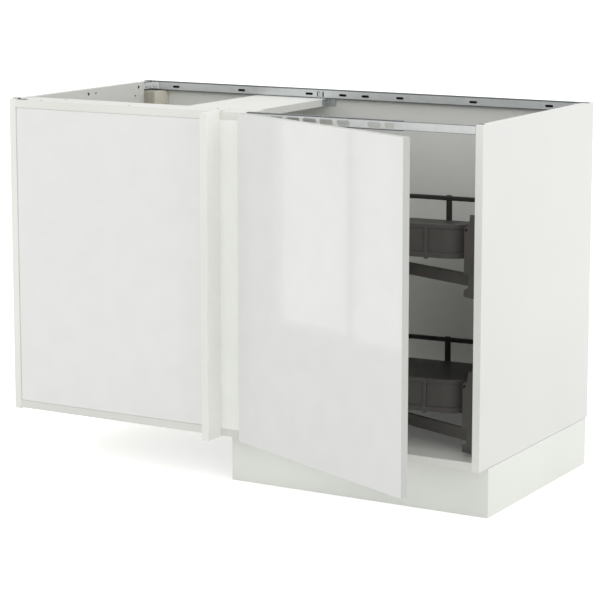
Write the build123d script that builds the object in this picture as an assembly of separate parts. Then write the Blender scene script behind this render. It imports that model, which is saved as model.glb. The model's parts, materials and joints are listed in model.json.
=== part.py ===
from build123d import *
import os
from math import atan2, cos, degrees, hypot, radians, sin

# Corner base cabinet with a blind left half, a hinged door and a two-level pull-out fitting.
# Drawing axes: X from the left side panel's outer face, Y from the front edges to the back,
# Z up from the floor. The last lines move everything to the origin: on the floor, in the
# middle of the space that the cabinet takes with its door as it stands.

os.makedirs("parts", exist_ok=True)

INCH = 25.4

# Frame
blind_module = 25.5 * INCH
door_module = 24 * INCH
depth = 24 * INCH
frame_height = 30 * INCH
leg_height = 4.5 * INCH
board = 18.0
board_inset = 2.5
door_gap = 1.6
front_board_depth = 83.0
cross_board_width = 203.0
cross_board_in = 44.5
top_screw_in = 69.0
top_screw_end = 7.5
panel_hole_depth = 12.0

# Back
back_board = 3.0
back_recess = 2.6
back_joint_in = 103.0
strip_wall = 1.2
strip_flange = 9.0
batten_width = 30.0
batten_depth = 78.0
batten_gap = 6.0
batten_radius = 5.0

# Blind front and the corner return
filler_reach = 58.0
corner_reach = 60.2
blind_recess = 1.0
bevel_side = 4.0
bevel_edge = 2.4
bevel_depth = 1.6

# Door and its concealed hinges
door_back_gap = 2.0
hinge_pivot_in = 1.7
hinge_pivot_front = 16.0
door_opened = 24.8
hinge_height = 90.0
cup_radius = 17.5
cup_edge = 22.5
cup_depth = 11.5
cup_wall = 1.2
cup_fit = 0.1
cup_plate = (38.0, 64.0, 1.0)
cup_plate_corner = 11.0
cup_screw_spacing = 48.0
arm_setback = 37.0
nose_in = 13.6
nose_depth = 8.5
nose_half = 4.0
link_in = 6.8
link_radius = 1.5
link_thickness = 2.0
link_seat = 0.2
plate_thickness = 2.5
plate_height = 46.0
plate_depth = 30.0
plate_screw_spacing = 32.0
hinge_arm_height = 17.0
hinge_arm_front = 4.0
hinge_arm_length = 62.0
hinge_arm_side = 5.0
hinge_arm_rise = 8.0
hinge_arm_wall = 1.2
bumper_radius = 4.0
bumper_thickness = 1.7
bumper_inset = 20.0

# Steel rails
rail_height = 23.5
rail_depth = 12.0
rail_wall = 1.2
rail_slot_length = 21.0
rail_slot_height = 6.0
rail_slot_pitch = 200.0
first_slot_left = 76.0
first_slot_right = 88.0
joint_slot_pitch = 64.0
rail_joint_in = 61.0
clip_half = 6.5
clip_slot = (3.0, 13.0)
front_rail_height = 22.4
vent_length = 34.0
vent_height = 12.5
vent_pitch = 42.7
vent_pairs = 4
vented_length = 394.0
rail_lap = 20.0
tab_width = 13.0
tab_edge = 1.5
bracket_plate = 1.5
bracket_length = 37.0
bracket_screw_in = 10.0
bracket_screw_pitch = 17.0
front_bracket_length = 27.0
front_tab_width = 9.0
front_screw_y = 15.0
hook_front = 11.0
hook_width = 10.0
tab_reach = 22.0

# Plinth and legs
plinth_board = 16.0
plinth_setback = 48.0
plinth_gap = 1.0
plinth_in = 8.2
leg_radius = 15.0
spindle_radius = 5.0
spindle_length = 30.0
foot_radius = 24.0
foot_height = 8.0
socket_radius = 35.0
socket_flange = 6.0
socket_depth = 20.0
socket_wall = 3.0
leg_clearance = 0.2
clip_height = 26.0
clip_width = 36.0
clip_wall = 3.0

# Fasteners
screw_shank = 1.8
screw_head = 3.8
screw_head_height = 2.2
screw_length = 45.0
small_screw_length = 14.0
hole_fit = 0.15
dowel_radius = 4.0
dowel_length = 32.0
dowel_fit = 0.1
few_sides = 8
many_sides = 12
cup_sides = 20
vent_sides = 12

# Pull-out fitting, one height for the underside of each tray
tray_levels = {"upper": 571.0, "lower": 223.0}
tray_post_gap = 34.7
tray_side_gap = 53.3
tray_front = 48.0
tray_bow = 7.0
tray_back_gap = 86.0
tray_front_radius = 70.0
tray_back_radius = 170.0
tray_turn = 4.0
tray_wall_height = 76.0
tray_wall_end = 172.0
tray_rim = 6.0
tray_floor_thickness = 12.0
wall_inset = 3.5
wall_thickness = 2.0
wall_band = 10.0
rib_width = 10.0
rib_in = 107.0
rib_foot = 3.0
rail_bar = 9.0
rail_bar_depth = 7.0
rail_bar_height = 57.0
upright_width = 11.5
upright_rise = 3.0
arm_drop = 28.5
arm_height = 27.5
arm_thickness = 7.0
arm_length = 300.0
arm_turn = 159.0
arm_hub_radius = 8.0
tray_hub_radius = 16.0
hub_plate_radius = 45.0
hub_plate = 5.0
pin_radius = 5.0
tray_pin_radius = 8.0
pin_fit = 0.05
side_gap = 0.3
bracket_width = 45.3
bracket_sheet = 3.0
bracket_depth = 90.0
bracket_above = 104.0
bracket_corner = 75.0
bracket_below = 84.0
bracket_foot = 6.0
bracket_shoulder = (11.0, 82.0)
bracket_slant = 13.5
bracket_front = 12.0
notch_depth = 10.6
notch_ramp = 6.0
corner_slot = (1.5, 7.0, 66.0, 73.0)
lug_thickness = 4.0
lug_reach = 8.0
bracket_screw_low = 14.0
bracket_screw_high = 16.0
side_screw_back = 46.0
pivot_from_side = 25.3
pivot_y = 56.0
window_gap = 1.5

# Places that follow from the sizes
width = blind_module + door_module
z_low = leg_height
z_high = z_low + frame_height
inner_left = board
inner_right = width - board
floor_low = z_low + board_inset
floor_high = floor_low + board
top_high = z_high - board_inset
top_low = top_high - board
back_face = depth - back_recess - back_board
door_left = blind_module + door_gap
door_right = width - door_gap
door_low = z_low + door_gap
door_high = z_high - door_gap
door_back = -door_back_gap
door_front = door_back - board
post_left = door_left
post_right = post_left + board
corner_joint = blind_module - corner_reach
filler_left = corner_joint - board / 2
filler_right = corner_joint + board / 2
hinge_pivot = (door_left + hinge_pivot_in, door_front - hinge_pivot_front)
rail_low = z_high - rail_height
rail_front = back_face - rail_depth
slot_z = rail_low + rail_height * 0.45
front_rail_low = z_high - front_rail_height
cross_board_right = corner_joint - cross_board_in
cross_board_left = cross_board_right - cross_board_width
back_joint_x = cross_board_left + back_joint_in
rail_joint_x = corner_joint - rail_joint_in
plinth_left = corner_joint + plinth_in
vent_end = post_right + vented_length
tray_left = post_right + tray_post_gap
tray_right = inner_right - tray_side_gap
tray_back = back_face - tray_back_gap
rib_x = tray_right - rib_in
nose_tip = (door_left + cup_edge + nose_in, door_back - nose_depth)
pivot_x = inner_right - pivot_from_side
tray_pivot = (
    pivot_x + arm_length * cos(radians(arm_turn)),
    pivot_y + arm_length * sin(radians(arm_turn)),
)


def block(x, y, z):
    """A box between two limits on each axis, each a pair of low and high."""
    sizes = [high - low for low, high in (x, y, z)]
    middles = [(high + low) / 2 for low, high in (x, y, z)]
    return Pos(*middles) * Box(*sizes)


def rod(start, direction, length, radius):
    """A round bar from a point along a direction."""
    return extrude(Plane(origin=start, z_dir=direction) * Circle(radius), length)


def prism(start, direction, length, radius, sides=few_sides):
    """A bar with a few flat sides, for small round pieces and their holes."""
    return extrude(Plane(origin=start, z_dir=direction) * RegularPolygon(radius, sides), length)


def long_shape(length, width, sides=few_sides):
    """A flat outline with straight sides and rounded ends of a few flats each."""
    straight = length - width
    end = RegularPolygon(width / 2, sides, major_radius=False, rotation=180 / sides)
    return Rectangle(straight, width) + Pos(straight / 2, 0) * end + Pos(-straight / 2, 0) * end


def strap(start, end, radius, z):
    """A flat bar with rounded ends between two points of the plan."""
    across = end[0] - start[0]
    along = end[1] - start[1]
    middle = Pos((start[0] + end[0]) / 2, (start[1] + end[1]) / 2, z[0])
    outline = long_shape(hypot(across, along) + 2 * radius, 2 * radius)
    return extrude(middle * Rot(0, 0, degrees(atan2(along, across))) * outline, z[1] - z[0])


def group(solids):
    """Several separate solids as one shape."""
    return Compound(children=list(solids))


def screw(seat, direction, length):
    """A flat-headed wood screw whose head stands on its seat and whose shank goes in."""
    back = tuple(-step for step in direction)
    head = prism(seat, back, screw_head_height, screw_head)
    return head + prism(seat, direction, length, screw_shank)


def screw_hole(seat, direction, length):
    """The hole that clears a screw's shank."""
    return prism(seat, direction, length + hole_fit, screw_shank + hole_fit)


# Places of the fasteners
dowel_rows = [depth * share for share in (0.12, 0.5, 0.88)]
first_top_screw = inner_left + top_screw_in
last_top_screw = corner_joint + top_screw_end
top_screw_xs = [first_top_screw, (first_top_screw + last_top_screw) / 2, last_top_screw]
top_screw_y = blind_recess + board / 2
filler_screw_zs = [floor_high + 60.0, (floor_high + top_low) / 2, top_low - 60.0]
filler_screw_x = (corner_joint + filler_right) / 2
hinge_zs = [door_low + hinge_height, door_high - hinge_height]
leg_front_y = plinth_setback + plinth_board + socket_radius + 1.0
leg_right_x = width - plinth_board - socket_radius - 6.0
leg_places = [
    (60.0, depth - 70.0),
    (post_left - 30.0, depth - 70.0),
    (leg_right_x, depth - 70.0),
    (plinth_left + 54.0, leg_front_y),
    (leg_right_x, leg_front_y),
]


def dowel_holes(outward):
    """Blind holes across the joint between the bottom panel and a side panel."""
    x = inner_left if outward < 0 else inner_right
    start = x + outward * dowel_length / 3
    return [
        prism((start + outward * 0.5, y, floor_low + board / 2), (-outward, 0, 0), dowel_length + 1, dowel_radius + dowel_fit)
        for y in dowel_rows
    ]


def side_panels():
    """Left and right side panels, drilled for the dowels and the rails' screws."""
    left = block((0, inner_left), (0, depth), (z_low, z_high))
    right = block((inner_right, width), (0, depth), (z_low, z_high))
    for hole in dowel_holes(-1):
        left -= hole
    for hole in dowel_holes(1):
        right -= hole
    inside = inner_left - panel_hole_depth
    for y, z, radius in (
        (depth / 2, slot_z, 4.0),
        (depth / 2 + 32.0, slot_z, 2.5),
        (rail_front - 62.0, slot_z, 4.0),
        (rail_front - 78.0, slot_z - 21.0, 2.5),
    ):
        left -= prism((inside, y, z), (1, 0, 0), panel_hole_depth + 1, radius)
    for x, out in ((inner_left, -1), (inner_right, 1)):
        for y, z in bracket_screw_places():
            hole = screw_hole((x, y, z), (out, 0, 0), small_screw_length)
            if out < 0:
                left -= hole
            else:
                right -= hole
    for y, z in side_bracket_screw_places():
        right -= screw_hole((inner_right, y, z), (1, 0, 0), small_screw_length)
    right -= screw_hole((inner_right, front_screw_y, front_rail_low + 9.0), (1, 0, 0), small_screw_length)
    return left, right


def bracket_screw_places():
    """Y and Z of the screws that hold the rear rail's end brackets."""
    last = rail_front - bracket_screw_in
    return [(last - bracket_screw_pitch, slot_z), (last, slot_z)]


def side_bracket_screw_places():
    """Y and Z of the screws that hold the fitting's brackets."""
    places = []
    for level in tray_levels.values():
        for z in (level - bracket_below + bracket_screw_low, level + bracket_above - bracket_screw_high):
            places.append((pivot_y + side_screw_back, z))
    return places


def bottom_panel():
    """The cabinet's floor."""
    panel = block((inner_left, inner_right), (0, back_face), (floor_low, floor_high))
    for outward in (-1, 1):
        for hole in dowel_holes(outward):
            panel -= hole
    return panel


def back_panels():
    """Two thin back panels and the strip that joins their edges."""
    edge = strip_wall / 2 + 0.1
    z = (floor_low, top_high)
    y = (back_face, back_face + back_board)
    left = block((inner_left, back_joint_x - edge), y, z)
    right = block((back_joint_x + edge, inner_right), y, z)
    lowest = floor_high + 0.3
    highest = rail_low - board - 0.5
    strip = block((back_joint_x - strip_wall / 2, back_joint_x + strip_wall / 2), y, (lowest, highest))
    for face in (back_face - strip_wall, back_face + back_board):
        x = (back_joint_x - strip_flange, back_joint_x + strip_flange)
        strip += block(x, (face, face + strip_wall), (lowest, highest))
    return left, right, strip


def rear_corner_batten():
    """A raw rounded batten that stiffens the rear left corner."""
    x = (inner_left, inner_left + batten_width)
    back = back_face - batten_gap
    batten = block(x, (back - batten_depth, back), (floor_high, rail_low - 1.0))
    corner = batten.edges().filter_by(Axis.Z).sort_by(Axis.X)[-2:].sort_by(Axis.Y)[0]
    return fillet(corner, batten_radius)


def blind_front_panel():
    """The fixed panel over the blind half, with a shallow bevel on its outline."""
    y = (blind_recess, blind_recess + board)
    panel = block((inner_left, corner_joint), y, (floor_high, top_low))
    front = panel.faces().sort_by(Axis.Y)[0]
    side = front.edges().sort_by(Axis.X)[0]
    panel = chamfer(side, bevel_side, bevel_depth, reference=front)
    front = panel.faces().sort_by(Axis.Y)[0]
    ends = front.edges().sort_by(Axis.Z)
    panel = chamfer([ends[0], ends[-1]], bevel_edge, bevel_depth, reference=front)
    for x in top_screw_xs:
        if x < corner_joint:
            panel -= screw_hole((x, top_screw_y, top_low), (0, 0, -1), screw_length - board)
    return panel


def corner_boards():
    """The board beside the blind panel and the return board that stands out from it."""
    post = block((corner_joint, post_left), (0, board), (floor_high, top_low))
    y = (-filler_reach, 0)
    filler = block((filler_left, filler_right), y, (door_low, door_high))
    post -= screw_hole((top_screw_xs[-1], top_screw_y, top_low), (0, 0, -1), screw_length - board)
    for z in filler_screw_zs:
        hole = screw_hole((filler_screw_x, board, z), (0, -1, 0), screw_length)
        post -= hole
        filler -= hole
    return post, filler


def hinge_post():
    """The upright that carries the door's hinges."""
    post = block((post_left, post_right), (0, front_board_depth), (floor_high, top_low))
    for z in hinge_zs:
        for side in (-1, 1):
            seat = (post_right, arm_setback, z + side * plate_screw_spacing / 2)
            post -= screw_hole(seat, (-1, 0, 0), small_screw_length)
    return post


def front_top_board():
    """The board along the top of the blind half's front."""
    top = block((inner_left, post_right), (0, front_board_depth), (top_low, top_high))
    for x in top_screw_xs:
        top -= screw_hole((x, top_screw_y, top_high), (0, 0, -1), screw_length)
    y = front_board_depth - 20.0
    for x, radius in ((inner_left + 104.0, 4.0), (corner_joint - 35.5, 4.0), (corner_joint - 3.5, 2.5)):
        top -= prism((x, y, top_high - panel_hole_depth), (0, 0, 1), panel_hole_depth + 1, radius)
    return top


def cross_board():
    """The board that runs from the blind panel to the back, under the rear rail."""
    x = (cross_board_left, cross_board_right)
    y = (blind_recess + board, back_face - strip_wall - side_gap)
    return block(x, y, (rail_low - board, rail_low))


def cross_board_bracket():
    """A folded angle that ties the cross board to the back."""
    x = cross_board_right
    z = (rail_low - board, rail_low)
    back = back_face - strip_wall - side_gap
    leg = block((x, x + 2.0), (back - 32.0, back), z)
    foot = block((x + 2.0, x + 22.0), (back - 2.0, back), z)
    angle = leg + foot
    for y in (back - 22.0, back - 12.0):
        angle -= prism((x - 1.0, y, rail_low - board / 2), (1, 0, 0), 4.0, 2.2)
    return angle


def channel(x, front, z, deep, wall):
    """A folded steel channel, open to the back, between two X limits."""
    low, high = z
    rail = block(x, (front, front + wall), z)
    rail += block(x, (front + wall, front + deep), (high - wall, high))
    rail += block(x, (front + wall, front + deep), (low, low + wall))
    return rail


def slot(x, y, z, length, height, deep):
    """A rounded slot along X, cut through in Y."""
    shape = Plane(origin=(x, y, z), x_dir=(1, 0, 0), z_dir=(0, 1, 0)) * SlotOverall(length, height)
    return extrude(shape, deep)


def long_hole(x, y, z, length, height, deep, sides=few_sides):
    """A long hole along X with ends of a few flats, cut through in Y."""
    plane = Plane(origin=(x, y, z), x_dir=(1, 0, 0), z_dir=(0, 1, 0))
    return extrude(plane * long_shape(length, height, sides), deep)


def rear_rails():
    """The two lengths of the rear rail, with slots for wall and worktop screws."""
    z = (rail_low, z_high)
    left = channel((inner_left, rail_joint_x), rail_front, z, rail_depth, rail_wall)
    right = channel((rail_joint_x, inner_right), rail_front, z, rail_depth, rail_wall)
    for step in range(3):
        x = inner_left + first_slot_left + rail_slot_pitch * step
        left -= slot(x, rail_front - 1, slot_z, rail_slot_length, rail_slot_height, rail_wall + 2)
        x = inner_right - first_slot_right - rail_slot_pitch * step
        right -= slot(x, rail_front - 1, slot_z, rail_slot_length, rail_slot_height, rail_wall + 2)
    for step in (1, 2):
        x = rail_joint_x + joint_slot_pitch * step
        right -= long_hole(x, rail_front - 1, slot_z, rail_slot_length, rail_slot_height, rail_wall + 2)
    y = (rail_front - 1, rail_front + rail_wall + 1)
    z = (slot_z - clip_slot[1] / 2, slot_z + clip_slot[1] / 2)
    left -= block((rail_joint_x - clip_half - clip_slot[0], rail_joint_x - clip_half), y, z)
    right -= block((rail_joint_x + clip_half, rail_joint_x + clip_half + clip_slot[0]), y, z)
    return left, right


def rail_joint_clip():
    """The H-shaped clip over the joint of the two rear rails."""
    y = (rail_front - 1.5, rail_front)
    x = rail_joint_x
    z = slot_z
    clip = block((x - clip_half, x - 2.5), y, (z - 10.0, z + 8.0))
    clip += block((x + 2.5, x + clip_half), y, (z - 10.0, z + 8.0))
    return clip + block((x - 2.5, x + 2.5), y, (z - 3.0, z + 2.0))


def rear_end_bracket(face, inward):
    """The folded bracket between a side panel and the rear rail, hooked over the panel's top."""
    sheet = bracket_plate
    near = face + inward * sheet
    x = tuple(sorted((face, near)))
    plate = block(x, (rail_front - bracket_length, rail_front), (rail_low, z_high))
    flange = tuple(sorted((near, face + inward * tab_reach)))
    plate += block(flange, (rail_front - sheet, rail_front), (rail_low, z_high))
    over = tuple(sorted((face + inward * sheet, face - inward * (board - tab_edge))))
    plate += block(over, (rail_front - tab_width, rail_front), (z_high, z_high + rail_wall))
    for y, z in bracket_screw_places():
        plate -= screw_hole((face - inward, y, z), (inward, 0, 0), sheet + 2)
    return plate


def bracket_screws():
    """Screws through the rear rail's end brackets."""
    screws = []
    for face, inward in ((inner_left, 1), (inner_right, -1)):
        for y, z in bracket_screw_places():
            seat = (face + inward * bracket_plate, y, z)
            screws.append(screw(seat, (-inward, 0, 0), small_screw_length + 1.0))
    seat = (inner_right - bracket_plate, front_screw_y, front_rail_low + 9.0)
    screws.append(screw(seat, (1, 0, 0), small_screw_length + 1.0))
    return group(screws)


def front_rails():
    """The front rail over the door: a vented length and a plain one that slides inside it."""
    z = (front_rail_low, z_high)
    vented = channel((post_right, vent_end), 0, z, rail_depth, rail_wall)
    first = post_right + 78.0
    for step in range(vent_pairs + 1):
        x = first + vent_pitch * step
        vented -= long_hole(x, -1, front_rail_low + 10.0, vent_length, vent_height, rail_wall + 2, vent_sides)
    for step in range(2):
        x = first + vent_pitch * (vent_pairs + 1.8 + step)
        vented -= long_hole(x, -1, front_rail_low + 10.0, vent_length, vent_height, rail_wall + 2, vent_sides)
    inside = rail_wall + side_gap
    z = (front_rail_low + inside, z_high - inside)
    x = (vent_end - rail_lap, inner_right - bracket_plate)
    plain = channel(x, inside, z, rail_depth - inside, rail_wall)
    return vented, plain


def front_end_bracket():
    """The folded bracket at the front rail's right end, hooked over the panel's top."""
    sheet = bracket_plate
    inside = 2 * rail_wall + side_gap
    y = (front_bracket_length - front_tab_width, front_bracket_length)
    plate = block((inner_right - sheet, inner_right), (inside, y[1]), (front_rail_low + side_gap, z_high))
    z = (front_rail_low + inside + side_gap, z_high - inside - side_gap)
    plate += block((inner_right - tab_reach, inner_right - sheet), (inside, inside + sheet), z)
    plate += block((inner_right - sheet, inner_right + board / 2), y, (z_high, z_high + rail_wall))
    return plate - screw_hole((inner_right - sheet - 1, front_screw_y, front_rail_low + 9.0), (1, 0, 0), sheet + 2)


def front_left_hook():
    """The strap from the front top board over the left side panel's top."""
    sheet = rail_wall
    y = (hook_front, hook_front + hook_width)
    hook = block((tab_edge, inner_left + sheet), y, (z_high, z_high + sheet))
    hook += block((inner_left, inner_left + sheet), y, (top_high, z_high))
    return hook + block((inner_left + sheet, inner_left + tab_reach), y, (top_high, top_high + sheet))


def top_board_screws():
    """Screws down through the front top board."""
    return group(screw((x, top_screw_y, top_high), (0, 0, -1), screw_length) for x in top_screw_xs)


def filler_screws():
    """Screws from inside the cabinet into the return board's edge."""
    seats = [(filler_screw_x, board, z) for z in filler_screw_zs]
    return group(screw(seat, (0, -1, 0), screw_length) for seat in seats)


def panel_dowels():
    """Wooden dowels in the joints between the bottom panel and the side panels."""
    dowels = []
    for x, outward in ((inner_left, -1), (inner_right, 1)):
        for y in dowel_rows:
            start = (x + outward * dowel_length / 3, y, floor_low + board / 2)
            dowels.append(prism(start, (-outward, 0, 0), dowel_length, dowel_radius))
    return group(dowels)


def plinth_boards():
    """The plinth's front board and the side board behind its right end."""
    z = (0, z_low - plinth_gap)
    front = block((plinth_left, width), (plinth_setback, plinth_setback + plinth_board), z)
    y = (plinth_setback + plinth_board, depth - 9.6)
    side = block((width - plinth_board, width), y, z)
    return front, side


def leg_sockets():
    """The round sockets screwed under the bottom panel."""
    sockets = []
    for x, y in leg_places:
        socket = prism((x, y, floor_low - socket_flange), (0, 0, 1), socket_flange, socket_radius, many_sides)
        low = (x, y, floor_low - socket_depth)
        tall = socket_depth - socket_flange
        tube = prism(low, (0, 0, 1), tall, leg_radius + leg_clearance + socket_wall, many_sides)
        bore = prism(low, (0, 0, 1), tall, leg_radius + leg_clearance, many_sides)
        sockets.append(socket + (tube - bore))
    return group(sockets)


def leg_stems():
    """The legs, pushed up into their sockets and bored for the feet's spindles."""
    stems = []
    for x, y in leg_places:
        length = floor_low - socket_flange - foot_height
        stem = prism((x, y, foot_height), (0, 0, 1), length, leg_radius, many_sides)
        bore = prism((x, y, foot_height), (0, 0, 1), spindle_length + 1, spindle_radius + leg_clearance)
        stems.append(stem - bore)
    return group(stems)


def leg_feet():
    """The adjustable feet, each with a spindle in its leg."""
    feet = []
    for x, y in leg_places:
        foot = prism((x, y, 0), (0, 0, 1), foot_height, foot_radius, many_sides)
        spindle = prism((x, y, foot_height), (0, 0, 1), spindle_length, spindle_radius)
        feet.append(foot + spindle)
    return group(feet)


def plinth_clip(neck):
    """A spring clip round a leg, drawn with the leg at the origin and the board at -Y."""
    z = (-clip_height / 2, clip_height / 2)
    outer = leg_radius + leg_clearance + clip_wall
    low = (0, 0, z[0])
    collar = prism(low, (0, 0, 1), clip_height, outer, many_sides)
    base = block((-clip_width / 2, clip_width / 2), (-neck, clip_wall - neck), z)
    stalk = block((-5.0, 5.0), (clip_wall - neck, -leg_radius), z)
    clip = collar + base + stalk
    clip -= prism(low, (0, 0, 1), clip_height, leg_radius + leg_clearance, many_sides)
    return clip - block((-leg_radius * 0.75, leg_radius * 0.75), (0, outer + 1), z)


def plinth_clips():
    """Clips that hold the plinth boards to the legs."""
    z = leg_height * 0.62
    clips = []
    for x, y in leg_places[3:]:
        neck = y - plinth_setback - plinth_board
        clips.append(Pos(x, y, z) * plinth_clip(neck))
    x, y = leg_places[2]
    neck = width - plinth_board - x
    clips.append(Pos(x, y, z) * Rot(0, 0, 90) * plinth_clip(neck))
    return group(clips)


def closed_door():
    """The door panel in its closed place, bored for the hinge cups."""
    panel = block((door_left, door_right), (door_front, door_back), (door_low, door_high))
    for z in hinge_zs:
        centre = (door_left + cup_edge, door_back, z)
        panel -= prism(centre, (0, -1, 0), cup_depth + cup_fit, cup_radius + cup_fit, cup_sides)
        for side in (-1, 1):
            seat = (door_left + cup_edge, door_back, z + side * cup_screw_spacing / 2)
            panel -= screw_hole(seat, (0, -1, 0), small_screw_length)
    return fillet(panel.edges().filter_by(Axis.Z).sort_by(Axis.Y)[:2], 0.6)


def closed_hinge_cups():
    """The hinge cups, each a drawn steel cup under an oval plate."""
    cups = []
    for z in hinge_zs:
        x = door_left + cup_edge
        cup = prism((x, door_back, z), (0, -1, 0), cup_depth, cup_radius, cup_sides)
        across, tall, thick = cup_plate
        ears = block((x - across / 2, x + across / 2), (door_back, door_back + thick), (z - tall / 2, z + tall / 2))
        cup += chamfer(ears.edges().filter_by(Axis.Y), cup_plate_corner)
        inside = cup_depth + thick - cup_wall
        cup -= prism((x, door_back + thick, z), (0, -1, 0), inside, cup_radius - cup_wall, cup_sides)
        for side in (-1, 1):
            seat = (x, door_back + thick, z + side * cup_screw_spacing / 2)
            cup -= screw_hole(seat, (0, -1, 0), thick)
        cups.append(cup)
    return group(cups)


def closed_cup_screws():
    """Flush screws that hold the hinge cups in the door."""
    screws = []
    for z in hinge_zs:
        for side in (-1, 1):
            seat = (door_left + cup_edge, door_back + cup_plate[2], z + side * cup_screw_spacing / 2)
            screws.append(prism(seat, (0, -1, 0), small_screw_length, screw_shank))
    return group(screws)


def closed_bumpers():
    """Soft bumpers on the door's back, near its free edge."""
    x = door_right - board / 2
    seats = [(x, door_back, z) for z in (door_low + bumper_inset, door_high - bumper_inset)]
    return group(prism(seat, (0, 1, 0), bumper_thickness, bumper_radius) for seat in seats)


def hinge_plates():
    """Mounting plates screwed to the hinge post, each with a raised spine."""
    plates = []
    for z in hinge_zs:
        x = (post_right, post_right + plate_thickness)
        y = (arm_setback - plate_depth / 2, arm_setback + plate_depth / 2)
        plate = block(x, y, (z - plate_height / 2, z + plate_height / 2))
        plate = chamfer(plate.edges().filter_by(Axis.X), 5.0)
        spine = hinge_arm_height / 2 - hinge_arm_wall - side_gap
        x = (post_right + plate_thickness, post_right + hinge_arm_rise)
        plate += block(x, y, (z - spine, z + spine))
        for side in (-1, 1):
            seat = (post_right + plate_thickness, arm_setback, z + side * plate_screw_spacing / 2)
            plate -= screw_hole(seat, (-1, 0, 0), plate_thickness)
        plates.append(plate)
    return group(plates)


def hinge_plate_screws():
    """Screws that hold the mounting plates."""
    screws = []
    for z in hinge_zs:
        for side in (-1, 1):
            seat = (post_right + plate_thickness, arm_setback, z + side * plate_screw_spacing / 2)
            screws.append(screw(seat, (-1, 0, 0), small_screw_length + plate_thickness))
    return group(screws)


def hinge_arms():
    """The hinges' folded arms, clipped over the mounting plates' spines, with a nose to the cup."""
    arms = []
    for z in hinge_zs:
        half = hinge_arm_height / 2
        web = post_right + hinge_arm_rise
        y = (hinge_arm_front, hinge_arm_front + hinge_arm_length)
        arm = block((web, web + hinge_arm_wall), y, (z - half, z + half))
        for low in (z - half, z + half - hinge_arm_wall):
            arm += block((web - hinge_arm_side, web), y, (low, low + hinge_arm_wall))
        root = (web - link_radius, hinge_arm_front + 2 * link_radius)
        arms.append(arm + strap(root, nose_tip, link_radius, (z - nose_half, z + nose_half)))
    return group(arms)


def closed_hinge_links():
    """The links' halves that stand in the cups, open at the pivot that they share with the arms."""
    centre = Pos(*hinge_pivot, 0)
    knuckle = (centre * Rot(0, 0, door_opened) * centre.inverse() * Pos(*nose_tip, 0)).position
    foot = (door_left + cup_edge - link_in, door_back - cup_depth + cup_wall + link_radius + link_seat)
    links = []
    for z in hinge_zs:
        inner = nose_half + side_gap
        outer = inner + link_thickness
        link = prism((*foot, z - outer), (0, 0, 1), 2 * outer, link_radius)
        for low in (z - outer, z + inner):
            link += strap(foot, (knuckle.X, knuckle.Y), link_radius, (low, low + link_thickness))
        links.append(link)
    return group(links)


def tray_outline():
    """The tray's plan, a flat face with a bowed front and rounder back corners."""
    left = (tray_left, tray_front)
    middle = ((tray_left + tray_right) / 2, tray_front - tray_bow)
    right = (tray_right, tray_front)
    edges = [
        ThreePointArc(left, middle, right),
        Line(right, (tray_right, tray_back)),
        Line((tray_right, tray_back), (tray_left, tray_back)),
        Line((tray_left, tray_back), left),
    ]
    face = make_face(edges)
    corners = face.vertices().sort_by(Axis.Y)
    face = fillet(corners[-2:], tray_back_radius)
    front = [v for v in face.vertices() if abs(v.Y - tray_front) < 1e-3]
    return fillet(front, tray_front_radius)


def turned(shape):
    """A tray piece turned from its square drawing to how the tray stands."""
    centre = Pos((tray_left + tray_right) / 2, (tray_front + tray_back) / 2, 0)
    return centre * Rot(0, 0, tray_turn) * centre.inverse() * shape


def ring(outline, outer, inner, low, high):
    """A wall between two insets of the tray's plan."""
    outside = offset(outline, -outer) if outer else outline
    face = outside - offset(outline, -inner)
    return extrude(Pos(0, 0, low) * face, high - low)


def front_part(level):
    """The space that holds the part of the tray's edge with a closed wall."""
    reach = (tray_left - 50.0, tray_right + 50.0)
    return block(reach, (tray_front - 50.0, tray_wall_end), (level - 50.0, level + 150.0))


def tray_floor(level):
    """The tray's board."""
    face = offset(tray_outline(), -tray_rim - side_gap / 3)
    return turned(extrude(Pos(0, 0, level) * face, tray_floor_thickness))


def tray_wall(level):
    """The moulded rim round the tray's board, with a closed wall along its front."""
    outline = tray_outline()
    top = level + tray_wall_height
    rim_top = level + tray_floor_thickness
    rim = ring(outline, 0, tray_rim, level, rim_top)
    wall = ring(outline, wall_inset, wall_inset + wall_thickness, rim_top, top - wall_band)
    band = ring(outline, 0, tray_rim, top - wall_band, top)
    x = (rib_x - rib_width / 2, rib_x + rib_width / 2)
    y = (tray_front - 20.0, tray_wall_end)
    rib = block(x, y, (rim_top, top)) & ring(outline, 0, tray_rim, rim_top, top)
    foot = block(x, y, (level - rib_foot, level)) & ring(outline, 0, tray_rim, level - rib_foot, level)
    front = (wall + band + rib) & front_part(level)
    return turned(rim + front + foot)


def railing_ends(level):
    """The space behind the closed wall, where the railing runs."""
    reach = (tray_left - 50.0, tray_right + 50.0)
    return block(reach, (tray_wall_end + side_gap, tray_back + 50.0), (level - 50.0, level + 150.0))


def tray_railing(level):
    """The bar round the tray's back and sides, on uprights that stand on the rim."""
    outline = tray_outline()
    low = level + rail_bar_height
    bar = ring(outline, 0, rail_bar_depth, low, low + rail_bar) & railing_ends(level)
    rim_top = level + tray_floor_thickness
    middle = (tray_left + tray_right) / 2
    half = upright_width / 2
    high = low + rail_bar + upright_rise
    uprights = block((middle - half, middle + half), (tray_back - tray_rim, tray_back), (rim_top, high))
    for x in ((tray_left, tray_left + tray_rim), (tray_right - tray_rim, tray_right)):
        y = (tray_wall_end + side_gap, tray_wall_end + side_gap + upright_width)
        uprights += block(x, y, (rim_top, high))
    return turned(bar + uprights)


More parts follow.
